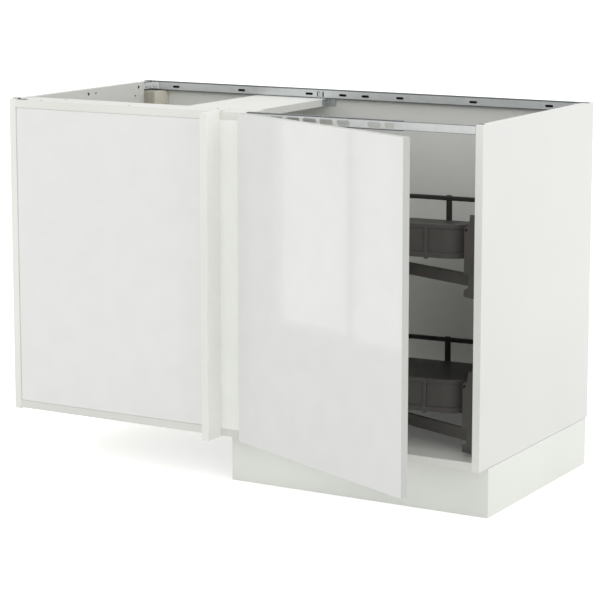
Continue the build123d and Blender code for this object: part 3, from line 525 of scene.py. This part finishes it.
def at(places):
    """Millimetres right of, behind and above the front corner as metres in the frame."""
    return front_corner + np.asarray(places, float) * MM


def turned(places, degrees, centre):
    """Places turned about an upright line: x' = c x - s y and y' = s x + c y from the centre."""
    angle = math.radians(degrees)
    c, s = math.cos(angle), math.sin(angle)
    spin = np.array([[c, -s, 0], [s, c, 0], [0, 0, 1]])
    middle = np.array([*centre, 0.0])
    return (np.asarray(places, float) - middle) @ spin.T + middle


print("front corner", np.round(front_corner, 4), "hinge line", np.round(at([*hinge_line, 0]), 4))

# %% [markdown]
# ## Boards with eased and banded edges
# A flat-pack board is sawn, its edges get a glued plastic band, and a scraper takes the corner
# off the band. The model's own board already has the right size and borings. So a copy of it
# is merged and its corners are rounded with a bevel. Faces across the thickness get the foil,
# faces on the outline get the band, and what is left, the borings, shows the chipboard.

# %% Eased copies of boards and sheet metal
def eased(name, radius, face, band=None, core=None, turn=0.0):
    """A copy of a node with rounded corners, and with its band and core told apart by place."""
    source = nodes[name].data
    points = np.empty(len(source.vertices) * 3)
    source.vertices.foreach_get("co", points)
    corners = np.empty(len(source.loops), int)
    source.loops.foreach_get("vertex_index", corners)
    mesh = bpy.data.meshes.new(name + "_eased")
    mesh.from_pydata(points.reshape(-1, 3).tolist(), [], corners.reshape(-1, 3).tolist())
    shell = bmesh.new()
    shell.from_mesh(mesh)
    bmesh.ops.remove_doubles(shell, verts=shell.verts, dist=0.005 * MM)
    bmesh.ops.dissolve_limit(
        shell, angle_limit=math.radians(0.5), verts=shell.verts, edges=shell.edges)
    shell.to_mesh(mesh)
    shell.free()
    if band:
        count = len(mesh.polygons)
        centres, normals = np.empty(count * 3), np.empty(count * 3)
        mesh.polygons.foreach_get("center", centres)
        mesh.polygons.foreach_get("normal", normals)
        own = [
            turned(values.reshape(-1, 3), -turn, (0, 0)) for values in (points, centres, normals)]
        low, high = own[0].min(0), own[0].max(0)
        thin = int(np.argmin(high - low))
        # Foil: the face looks across the thickness. Band: it looks along an axis on the outline.
        across = np.abs(own[2][:, thin]) > 0.2
        near = np.minimum(np.abs(own[1] - low), np.abs(own[1] - high)) < 0.3 * MM
        outline = ((np.abs(own[2]) > 0.9) & near).any(1)
        kinds = np.where(across, 0, np.where(outline, 1, 2))
        mesh.polygons.foreach_set("material_index", kinds.astype(np.int32))
    mesh.polygons.foreach_set("use_smooth", np.ones(len(mesh.polygons), bool))
    mesh.set_sharp_from_angle(angle=math.radians(15))
    body = body_of_empty[nodes[name].parent.name]
    finishes_here = [face, band, core] if band else [face]
    made = shown(mesh, name + "_eased", body, [name], finishes_here)
    corner = made.modifiers.new("eased_edges", "BEVEL")
    corner.width = radius
    corner.segments = 2
    corner.limit_method = "ANGLE"
    corner.angle_limit = math.radians(50)
    keep_flat(made)


# %% The boards
boards = [
    ("left_side_panel", 0.4, "white_foil_board", board_white, board_band),
    ("hinge_post", 0.4, "white_foil_board", board_white, board_band),
    ("cross_board", 0.4, "white_foil_board", board_white, board_band),
    # The bottom board's band and the top board's face and band are the darker copies: painted
    # shade.
    ("bottom_panel", 0.4, "white_foil_board", board_white, low_shaded_band),
    ("right_side_panel", 0.4, "white_foil_board", side_white, board_band),
    ("front_top_board", 0.4, "white_foil_board", top_shaded_white, top_shaded_band),
    ("plinth_front_board", 0.4, "white_plinth", plinth_white, board_band),
    ("plinth_side_board", 0.4, "white_plinth", plinth_white, board_band),
    ("blind_front_panel", 0.3, "white_front", blind_gloss, board_band),
    # The post and the filler take the copies painted lighter: painted light.
    ("corner_post_board", 0.4, "white_front", post_gloss_lit, board_band),
    ("corner_filler_board", 0.4, "white_front", edge_gloss_lit, board_band)]
for name, radius, slot_name, face, band in boards:
    eased(name, radius * MM, face, band, board_core)
eased("door_panel", 0.9 * MM, front_gloss, front_band, board_core, -door_opened)

# %% [markdown]
# ## Folded sheet metal
# The rails are roll-formed and the brackets pressed, so no edge of them is sharp: a fold has
# an outer radius of about the sheet's thickness. The same eased copy gives it.

# %% Eased rails, brackets and hinges
sheet_metal = {
    zinc_rear: ["rear_rail_left", "rear_rail_right"],
    zinc_sheet: ["cross_board_bracket", "rear_rail_joint_clip"],
    # The lighter copy, painted light.
    zinc_painted_lit: [
        "rear_rail_end_brackets", "front_rail_vented", "front_rail_plain",
        "front_rail_end_bracket", "front_left_hook"],
}
for metal, names in sheet_metal.items():
    for name in names:
        eased(name, 0.5 * MM, metal)
for name in ("hinge_arms", "hinge_plates", "hinge_cups", "hinge_links"):
    eased(name, 0.3 * MM, nickel)
for level in both_levels:
    eased(level + "side_bracket", 1.0 * MM, powder_coat)
    eased(level + "swing_arm", 1.2 * MM, powder_coat)
    eased(level + "tray_floor", 0.8 * MM, dark_foil)
eased("plinth_clips", 0.6 * MM, clip_plastic)
eased("back_joining_strip", 0.3 * MM, strip_plastic)

# %% [markdown]
# ## Tray walls and railings
# A tray's wall is moulded: a thick lower band round the board, a thinner wall that stands back
# from it, and a thick upper band. The railing is a flat bar bent round the back. Both are one
# section carried along the tray's outline. The outline is arcs and straight runs whose front
# is bowed out by a parabola, so it is worked out as one array of points with their normals.

# %% The tray's outline
tray_levels = {"upper": 571.0, "lower": 223.0}
tray_left, tray_right, tray_front, tray_back = 702.0, 1186.0, 48.0, 518.0
tray_half = (tray_right - tray_left) / 2
tray_middle = (tray_left + tray_half, (tray_front + tray_back) / 2)
tray_bow, tray_turn = 7.0, 4.0
wall_end, seam = 172.0, 0.3
front_radius, back_radius = 70.0, 170.0


def arc(x, y, radius, start, stop, steps):
    """Points of a plan arc: x + r cos a and y + r sin a."""
    angles = np.radians(np.linspace(start, stop, steps))
    return np.stack((x + radius * np.cos(angles), y + radius * np.sin(angles)), 1)


def bowed(path):
    """Moves the front outwards by bow (1 - u^2), u from -1 to 1 across, fading over the corners."""
    u = (path[:, 0] - tray_middle[0]) / tray_half
    fade = np.clip(1 - (path[:, 1] - tray_front) / front_radius, 0, 1)
    shift = tray_bow * (1 - u ** 2) * fade
    return path - np.stack((np.zeros_like(shift), shift), 1)


front_xs = np.linspace(tray_left + front_radius, tray_right - front_radius, 25)
front_path = bowed(np.concatenate((
    [(tray_left, wall_end)],
    arc(tray_left + front_radius, tray_front + front_radius, front_radius, 180, 268, 18),
    np.stack((front_xs, np.full(25, tray_front)), 1),
    arc(tray_right - front_radius, tray_front + front_radius, front_radius, 272, 360, 18),
    [(tray_right, wall_end)])))
rear_path = np.concatenate((
    [(tray_right, wall_end + seam)],
    arc(tray_right - back_radius, tray_back - back_radius, back_radius, 0, 90, 28),
    arc(tray_left + back_radius, tray_back - back_radius, back_radius, 90, 180, 28),
    [(tray_left, wall_end + seam)]))
print("outline points", len(front_path), "front and", len(rear_path), "rear")

# %% Sections and how they are carried
def rounded(section, radius, steps=4):
    """A section with its square corners rounded: centre - r (v cos a + u sin a) for each corner."""
    here = np.asarray(section, float)
    towards = np.roll(here, 1, 0) - here
    away = np.roll(here, -1, 0) - here
    u = towards / np.linalg.norm(towards, axis=1, keepdims=True)
    v = away / np.linalg.norm(away, axis=1, keepdims=True)
    radii = np.broadcast_to(np.asarray(radius, float), len(here))[:, None]
    centre = here + radii * (u + v)
    angles = np.linspace(0, np.pi / 2, steps)
    swing = (
        v[:, None] * np.cos(angles)[None, :, None] + u[:, None] * np.sin(angles)[None, :, None])
    return (centre[:, None] - radii[:, None] * swing).reshape(-1, 2)


def carried(path, section):
    """A section of (out, up) along a plan path: path + out times the outward normal, and up."""
    along = np.gradient(path, axis=0)
    along /= np.linalg.norm(along, axis=1, keepdims=True)
    outward = np.stack((along[:, 1], -along[:, 0]), 1)
    plan = path[:, None] + outward[:, None] * section[None, :, :1]
    up = np.broadcast_to(section[:, 1], plan.shape[:2])[..., None]
    points = np.concatenate((plan, up), 2).reshape(-1, 3)
    rows, columns = len(path), len(section)
    ends = [list(range(columns)), list(range((rows - 1) * columns, rows * columns))]
    return points, grid_faces(rows, columns, True) + ends


def rounded_block(low, high, radius, steps=3):
    """A box with rounded edges: each point of its skin is clipped to the box shrunk by the
    radius, then pushed out from there by the radius along the line between the two."""
    low, high = np.asarray(low, float), np.asarray(high, float)
    half, middle = (high - low) / 2, (high + low) / 2
    core = half - radius
    reach = radius * np.tan(np.linspace(0, np.pi / 4, steps + 1))
    parts = []
    for axis in range(3):
        first, second = (axis + 1) % 3, (axis + 2) % 3
        lines = [
            np.concatenate((-core[k] - reach[::-1], core[k] + reach)) for k in (first, second)]
        a, b = np.meshgrid(*lines, indexing="ij")
        for sign in (-1, 1):
            skin = np.empty((*a.shape, 3))
            skin[..., axis] = sign * half[axis]
            skin[..., first], skin[..., second] = a, b
            inside = np.clip(skin, -core, core)
            out = skin - inside
            out /= np.linalg.norm(out, axis=-1, keepdims=True)
            parts.append(((middle + inside + radius * out).reshape(-1, 3), grid_faces(*a.shape)))
    return joined(parts)


def placed(part, move):
    """A surface with its points moved by a function."""
    return move(part[0]), part[1]


print("a rounded box has", len(rounded_block((0, 0, 0), (9, 9, 9), 1)[1]), "faces")


# %% The sections of wall and railing
rim, rim_height, wall_height, band_height = 6.0, 12.0, 76.0, 10.0
wall_inset, wall_thickness = 3.5, 2.0
wall_back = wall_inset + wall_thickness
band_low = wall_height - band_height
rib_middle, rib_width, rib_foot = 1079.0, 10.0, 3.0
rear_rim_height = 6.0
bar_low, bar_height, bar_depth = 59.5, 11.0, 7.0
upright, upright_rise = 14.0, 2.0
wall_section = rounded([
    (-rim, 0), (0, 0), (0, rim_height), (-wall_inset, rim_height), (-wall_inset, band_low),
    (0, band_low), (0, wall_height), (-rim, wall_height), (-rim, band_low),
    (-wall_back, band_low), (-wall_back, rim_height), (-rim, rim_height)],
    [1.2, 1.5, 1.5, 1.0, 1.0, 1.5, 2.5, 2.5, 0.2, 0.2, 0.2, 0.2])
rim_section = rounded(
    [(-rim, 0), (0, 0), (0, rear_rim_height), (-rim, rear_rim_height)], [1.2, 1.5, 1.5, 0.5])
bar_section = rounded(
    [(-bar_depth, 0), (0, 0), (0, bar_height), (-bar_depth, bar_height)], 2.0, 5)
print("section points", len(wall_section), len(rim_section), len(bar_section))

# %% Tray walls and railings
rib_front = tray_front - tray_bow * (1 - ((rib_middle - tray_middle[0]) / tray_half) ** 2)
rib = rounded_block(
    (rib_middle - rib_width / 2, rib_front - 0.2, -rib_foot),
    (rib_middle + rib_width / 2, rib_front + wall_inset + 1.0, band_low + 2), 1.5)
wall = [carried(front_path, wall_section), carried(rear_path, rim_section), rib]
post_plans = [
    (tray_left, wall_end + seam, rim, upright),
    (tray_right - rim, wall_end + seam, rim, upright),
    (tray_middle[0] - upright / 2, tray_back - rim, upright, rim)]
post_top = bar_low + bar_height + upright_rise
railing = [carried(rear_path, bar_section + np.array([0, bar_low]))] + [
    rounded_block((x, y, rear_rim_height), (x + wide, y + deep, post_top), 1.5)
    for x, y, wide, deep in post_plans]


def tray_place(level):
    """The move of a tray's own millimetres to its level and turn, in the frame's metres."""
    return lambda points: at(turned(points + np.array([0, 0, level]), tray_turn, tray_middle))


for name, level in tray_levels.items():
    tray = name + "_tray"
    piece(tray + "_moulding", tray, [tray + "_wall"], moulded_abs,
          [placed(part, tray_place(level)) for part in wall])
    piece(tray + "_rail", tray, [tray + "_railing"], railing_coat,
          [placed(part, tray_place(level)) for part in railing])

# %% [markdown]
# ## Corner batten
# A planed batten stands in the rear left corner. Its plan has one leaning side, so that face
# turns to the light. The plan's corners are rounded a little and it is carried upwards.

# %% Corner batten
batten_plan = rounded([(18, 555), (50, 555), (62, 603.5), (18, 603.5)], [0.8, 1.5, 0.8, 0.8], 4)
batten_bottom, batten_top = [corner[2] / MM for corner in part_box("rear_corner_batten")]
heights = np.array([
    batten_bottom, *np.linspace(batten_bottom + 1, batten_top - 1, 5), batten_top])
pulled_in = np.array([0.8, *[0.0] * 5, 0.8])
from_middle = batten_plan - batten_plan.mean(0)
share = 1 - pulled_in / np.linalg.norm(from_middle, axis=1).mean()
plan = batten_plan.mean(0) + from_middle[None] * share[:, None, None]
up = np.broadcast_to(heights[:, None, None], (*plan.shape[:2], 1))
rows, columns = plan.shape[:2]
ends = [list(range(columns)), list(range((rows - 1) * columns, rows * columns))]
skin = np.concatenate((plan, up), 2).reshape(-1, 3)
batten_skin = (skin, grid_faces(rows, columns, True) + ends)
piece("rear_batten_planed", "carcass", ["rear_corner_batten"], raw_batten,
      [placed(batten_skin, at)])

# %% [markdown]
# ## Turned parts
# Legs, feet, sockets, hubs and bumpers are round. A profile of radius and height, turned about
# an axis, gives each of them. Radius zero at both ends closes the form.

# %% Turned parts
def lathe(profile, start, axis, segments=40):
    """Points start + h axis + r (cos a side + sin a other) for each radius r and height h."""
    profile = np.asarray(profile, float)
    axis = np.asarray(axis, float)
    side = np.cross(axis, (0, 0, 1.0) if abs(axis[2]) < 0.9 else (1.0, 0, 0))
    side /= np.linalg.norm(side)
    other = np.cross(axis, side)
    angles = np.linspace(0, 2 * np.pi, segments, endpoint=False)
    ring = np.cos(angles)[:, None] * side + np.sin(angles)[:, None] * other
    points = start + profile[:, 1][:, None, None] * axis + profile[:, 0][:, None, None] * ring[None]
    return points.reshape(-1, 3), grid_faces(len(profile), segments, True)


cone = lathe([(1, 0), (2, 1)], np.zeros(3), (0, 0, 1), 4)
print("a cone of 4 sides has", len(cone[1]), "faces")

# %% Legs, sockets and feet
carcass_low = 116.8
leg_top = carcass_low - 6.0
leg_places = [(60.0, 539.6), (619.3, 539.6), (1200.3, 539.6), (649.7, 100.0), (1200.3, 100.0)]
leg_profiles = {
    "leg_feet": [
        (0, 0), (22.5, 0), (24, 1.5), (24, 5), (22.8, 7.2), (20, 8), (5, 8), (5, 36), (4, 37),
        (0, 37)],
    "leg_stems": [
        (5.2, 37.5), (5.2, 8.3), (13.8, 8.3), (15, 9.5), (15, 22), (14, 23), (14, 25), (15, 26),
        (15, 29), (14, 30), (14, 32), (15, 33), (15, leg_top - 1.2), (13.8, leg_top),
        (0, leg_top), (0, 37.5), (5.2, 37.5)],
    "leg_sockets": [
        (0, carcass_low), (35, carcass_low), (35, 112.3), (33.5, 110.8), (19.5, 110.8),
        (18.2, 109.5), (18.2, 97.8), (17.2, 96.8), (15.2, 96.8), (15.2, leg_top + 0.05),
        (0, leg_top + 0.05)],
}
for name, profile in leg_profiles.items():
    parts = [
        placed(lathe(profile, np.array([x, y, 0.0]), (0, 0, 1)), at) for x, y in leg_places]
    piece(name + "_turned", "carcass", [name], leg_plastic, parts)

# %% Door bumpers and tray hubs
bumper_profile = [(0, 0), (4.0, 0), (4.0, 0.5), (3.6, 1.0), (2.8, 1.4), (1.6, 1.65), (0, 1.7)]
bumper_spots = [
    turned([(1246.7, -2.0, z)], -door_opened, hinge_line)[0] for z in (135.9, 854.7)]
outward = turned([(0, 1.0, 0)], -door_opened, (0, 0))[0]
piece("door_bumpers_domed", "door", ["door_bumpers"], bumper_rubber,
      [placed(lathe(bumper_profile, spot, outward, 24), at) for spot in bumper_spots])

arm_pivot, arm_length, arm_turn, arm_drop = (1214.0, 56.0), 300.0, 159.0, 28.5
tray_pivot = turned([(arm_pivot[0] + arm_length, arm_pivot[1], 0)], arm_turn, arm_pivot)[0]
for name, top in tray_levels.items():
    low = top - arm_drop + 0.3
    profile = [
        (8.3, low), (15, low), (16, low + 1), (16, top - 9), (18, top - 6), (22, top - 5),
        (43.5, top - 5), (45, top - 3.5), (45, top), (0, top), (0, top - 1), (8.3, top - 1),
        (8.3, low)]
    tray = name + "_tray"
    piece(name + "_hub_turned", tray, [tray + "_hub"], powder_coat,
          [placed(lathe(profile, tray_pivot, (0, 0, 1), 48), at)])

# %% [markdown]
# ## Screws
# A wood screw has a domed head with a cross recess and a thread. The head is a height over a
# disc: a dome less a cross whose two arms fade out at their sides. The thread is a radius over
# turn and depth that rises to a crest once a pitch, which draws the helix without a sweep.

# %% Screws
def screw_parts(seat, direction, length, radius=3.8, height=2.2):
    """A head, height (1 - 0.4 r^2) less the cross, and a shank of core + crest |saw| radius."""
    axis = np.asarray(direction, float)
    side = np.cross(axis, (0, 0, 1.0) if abs(axis[2]) < 0.9 else (1.0, 0, 0))
    other = np.cross(axis, side)
    angles = np.linspace(0, 2 * np.pi, 32, endpoint=False)
    r, a = np.meshgrid(np.concatenate((np.linspace(0, 1, 12), [1.0, 0.0])), angles, indexing="ij")
    x, y = np.abs(r * np.cos(a)), np.abs(r * np.sin(a))
    arms = np.maximum(np.clip((0.2 - x) / 0.12, 0, 1) * np.clip((0.65 - y) / 0.2, 0, 1),
                      np.clip((0.2 - y) / 0.12, 0, 1) * np.clip((0.65 - x) / 0.2, 0, 1))
    up = height * (1 - 0.4 * r ** 2) - 1.3 * arms
    up[-2:] = 0
    head = seat - up[..., None] * axis + radius * r[..., None] * (
        np.cos(a)[..., None] * side + np.sin(a)[..., None] * other)
    pitch, core, crest = 2.2, 1.2, 0.55
    depth = np.linspace(0, length, int(length / pitch * 4))
    d, b = np.meshgrid(depth, angles[::3], indexing="ij")
    saw = np.abs(2 * ((d / pitch - b / (2 * np.pi)) % 1) - 1)
    thick = (core + crest * saw) * np.clip((length - d) / 5.0, 0.02, 1)
    shank = seat + d[..., None] * axis + thick[..., None] * (
        np.cos(b)[..., None] * side + np.sin(b)[..., None] * other)
    tip = [list(range(d.size - d.shape[1], d.size))]
    return [
        (head.reshape(-1, 3), grid_faces(*r.shape, True)),
        (shank.reshape(-1, 3), grid_faces(*d.shape, True) + tip)]


sample = screw_parts(np.zeros(3), (0, 0, 1), 15.0)
print("a screw's head and shank have", [len(part[1]) for part in sample], "faces")

# %% Where the screws sit
rail_screw_seats = [((19.5, y, 863.4), (-1, 0, 0)) for y in (565.0, 582.0)]
rail_screw_seats += [((1237.8, y, 863.4), (1, 0, 0)) for y in (565.0, 582.0)]
rail_screw_seats.append(((1237.8, 15.0, 862.9), (1, 0, 0)))
top_seats = [((x, 10.0, 873.8), (0, 0, -1)) for x in (87.0, 341.0, 595.0)]
filler_seats = [((592.0, 18.0, z), (0, -1, 0)) for z in (194.8, 495.3, 795.8)]
bracket_seats = [
    ((1236.3, 102.0, level + z), (1, 0, 0))
    for level in tray_levels.values() for z in (-70.0, 88.0)]
plate_seats = [
    ((669.8, 37.0, z + side), (-1, 0, 0)) for z in (205.9, 784.7) for side in (-16.0, 16.0)]
screws = [
    ("rail_screws", zinc_screw, 15.0, rail_screw_seats),
    ("top_board_screws", zinc_screw, 45.0, top_seats),
    ("filler_screws", zinc_screw, 45.0, filler_seats),
    ("side_bracket_screws", zinc_screw, 17.0, bracket_seats),
    ("hinge_plate_screws", nickel, 16.5, plate_seats),
]
for name, material, length, seats in screws:
    parts = [placed(part, at) for seat, direction in seats
             for part in screw_parts(np.array(seat), direction, length)]
    piece(name + "_threaded", "carcass", [name], material, parts, 50)

# %% [markdown]
# ## Floor and backdrop
# The cabinet stands on a plain white floor in front of a white surround. The floor is lit like
# anything else, so it keeps the cabinet's shadow, and only the camera sees it a little lighter.

# %% Floor
floor_reach = 30.0
floor_mesh = bpy.data.meshes.new("floor")
corners = np.array([(-1, -1, 0), (1, -1, 0), (1, 1, 0), (-1, 1, 0)]) * floor_reach
floor_mesh.from_pydata(corners.tolist(), [], [(0, 1, 2, 3)])
floor = bpy.data.objects.new("floor", floor_mesh)
bpy.context.scene.collection.objects.link(floor)
floor_paint, floor_tree, floor_shader = new_material("matt_white_floor", Roughness=0.9)
ray = add(floor_tree, "LightPath").outputs["Is Camera Ray"]
wire(floor_tree, floor_shader, {
    "Base Color": linear("#F2F2F0"), "Emission Color": linear("#FFFFFF"),
    "Emission Strength": add(floor_tree, "MapRange", {"Value": ray, "To Max": 0.55})})
floor.data.materials.append(floor_paint)
floor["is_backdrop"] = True
print("floor", 2 * floor_reach, "m wide")

# %% Surround
world = bpy.data.worlds.new("white_surround")
bpy.context.scene.world = world
world.use_nodes = True
world_tree = world.node_tree
paths = add(world_tree, "LightPath").outputs
seen = add(world_tree, "Math", {
    0: paths["Is Camera Ray"], 1: paths["Is Glossy Ray"]}, operation="MAXIMUM")
seen = add(world_tree, "Math", {
    0: seen, 1: paths["Is Transmission Ray"]}, operation="MAXIMUM")
ambient = 0.93
wire(world_tree, world_tree.nodes["Background"], {
    "Color": linear("#FFFFFF"),
    "Strength": add(world_tree, "MapRange", {"Value": seen, "To Min": ambient, "To Max": 1.0})})
print("surround lights at", ambient)

# %% [markdown]
# ## Lamps
# Large soft lamps stand at the left and the right of the camera and above. A tall one behind
# the right side lights that panel more towards its rear. Small ones sit low before the plinth
# and over the bottom board inside, for the light that a white floor and white boards throw back.

# %% Lamps
def lamp(name, place_at, aim_at, size, power):
    """A rectangular soft lamp that faces a point; its power is spread over its area."""
    data = bpy.data.lights.new(name, "AREA")
    data.shape = "RECTANGLE"
    data.size, data.size_y = size
    data.energy = power
    made = bpy.data.objects.new(name, data)
    made.location = place_at
    made.rotation_mode = "QUATERNION"
    made.rotation_quaternion = (Vector(aim_at) - Vector(place_at)).to_track_quat("-Z", "Y")
    made.visible_camera = False
    bpy.context.scene.collection.objects.link(made)
    print(name, power, "W over", round(size[0] * size[1], 3), "square metres")


lamp("key_left", (-3.2, -4.2, 2.6), (0, 0, 0.5), (2.6, 2.2), 13)
lamp("fill_right", (4.4, -2.0, 2.2), (0.3, 0, 0.5), (2.4, 2.2), 22)
lamp("side_wash", (1.1, 0.85, 0.6), (0.63, 0.35, 0.5), (0.3, 0.9), 0.85)
lamp("top_soft", (0.2, -0.4, 4.0), (0, 0, 0.4), (3.0, 3.0), 5)
lamp("plinth_bounce", (0.08, -0.26, 0.004), (0.08, -0.26, 1.0), (0.36, 0.2), 0.03)
lamp("plinth_wash", (0.3, -0.22, 0.03), (0.3, 0.0, 0.05), (0.5, 0.04), 0.025)
lamp("inside_bounce", (0.33, 0.08, 0.168), (0.33, 0.08, 0.0), (0.5, 0.42), 0.05)

# %% [markdown]
# ## Camera
# A long lens stands well back, to the right of the front and above the top. Its place, turn
# and focal length come from matching the cabinet's corners. The small vertical shift only
# sets where the cabinet sits in the frame.

# %% Camera
picture, focal, shift = 600, 2228.4, -0.1
sensor = 36.0
camera_data = bpy.data.cameras.new("camera")
camera = bpy.data.objects.new("camera", camera_data)
bpy.context.scene.collection.objects.link(camera)
camera.location = (2.6413, -4.4602, 1.374)
camera.rotation_euler = (math.radians(90 - 8.95), 0, math.radians(29.845))
camera_data.sensor_width = sensor
camera_data.lens = focal / picture * sensor
camera_data.shift_y = shift
bpy.context.scene.camera = camera
bpy.context.scene.view_settings.view_transform = "Standard"
print("lens", round(camera_data.lens, 1), "mm")

# %% [markdown]
# ## Window panes in the gloss door
# The door mirrors two tall panes of a window, the bar between them and the wall's white reveal
# round them. A mirror sends a ray on along d - 2 (d . n) n, so the panes are found backwards: a
# ray through the picture's point where a pane ends is mirrored in the door's face and followed
# to an upright plane at the left. Only mirror rays see the panes, like lamps of that shape.

# %% Window panes
optical_axis = (picture / 2, picture / 2 + shift * picture)
pane_top = 1.2
panes = [
    ("window_pane_left", ((283, 320), (346, 332)), -1.35, 2.0),
    ("window_bar", ((353.5, 335), (361, 338)), -1.35, 1.7),
    ("window_pane_right", ((361, 341), (403, 350)), -1.35, 2.0),
    ("window_reveal_left", ((275, 326), (347, 341)), -1.36, 1.25),
    ("window_reveal_right", ((352, 346), (403, 359)), -1.36, 1.25)]
door_face = at(turned([(651.0, -20.0, 0)], -door_opened, hinge_line))[0]
door_normal = turned([(0, -1.0, 0)], -door_opened, (0, 0))[0]


def mirrored(spots, plane):
    """Where mirrored rays through points of the picture meet an upright plane at the left."""
    spots = np.asarray(spots, float)
    x, y = (spots - optical_axis).T / focal
    rays = np.stack((x, -y, -np.ones_like(x)), 1) @ np.array(camera.rotation_euler.to_matrix()).T
    start = np.array(camera.location)
    hit = start + rays * (((door_face - start) @ door_normal) / (rays @ door_normal))[:, None]
    bent = rays - 2 * (rays @ door_normal)[:, None] * door_normal
    return hit + bent * ((plane - hit[:, 0]) / bent[:, 0])[:, None]


for name, ends, plane, strength in panes:
    glow = new_material(
        name + "_light", Roughness=1.0, Base_Color=linear("#000000"),
        Emission_Color=linear("#FFFFFF"), Emission_Strength=strength)[0]
    bottom = mirrored(ends, plane)
    top = bottom * (1, 1, 0) + (0, 0, pane_top)
    mesh = bpy.data.meshes.new(name)
    mesh.from_pydata([*bottom.tolist(), *top[::-1].tolist()], [], [(0, 1, 2, 3)])
    mesh.materials.append(glow)
    pane = bpy.data.objects.new(name, mesh)
    bpy.context.scene.collection.objects.link(pane)
    pane.visible_camera = False
    pane.visible_diffuse = False
    pane.visible_shadow = False
    pane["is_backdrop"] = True
    print(name, "from", np.round(bottom[0], 3), "to", np.round(bottom[1], 3))

# %% [markdown]
# ## Sizes
# The box that the dressed cabinet takes up is worked out, leaving out the floor and the window
# panes. The dressed cabinet has to stay inside the model's box.

# %% Work out the sizes
low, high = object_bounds()
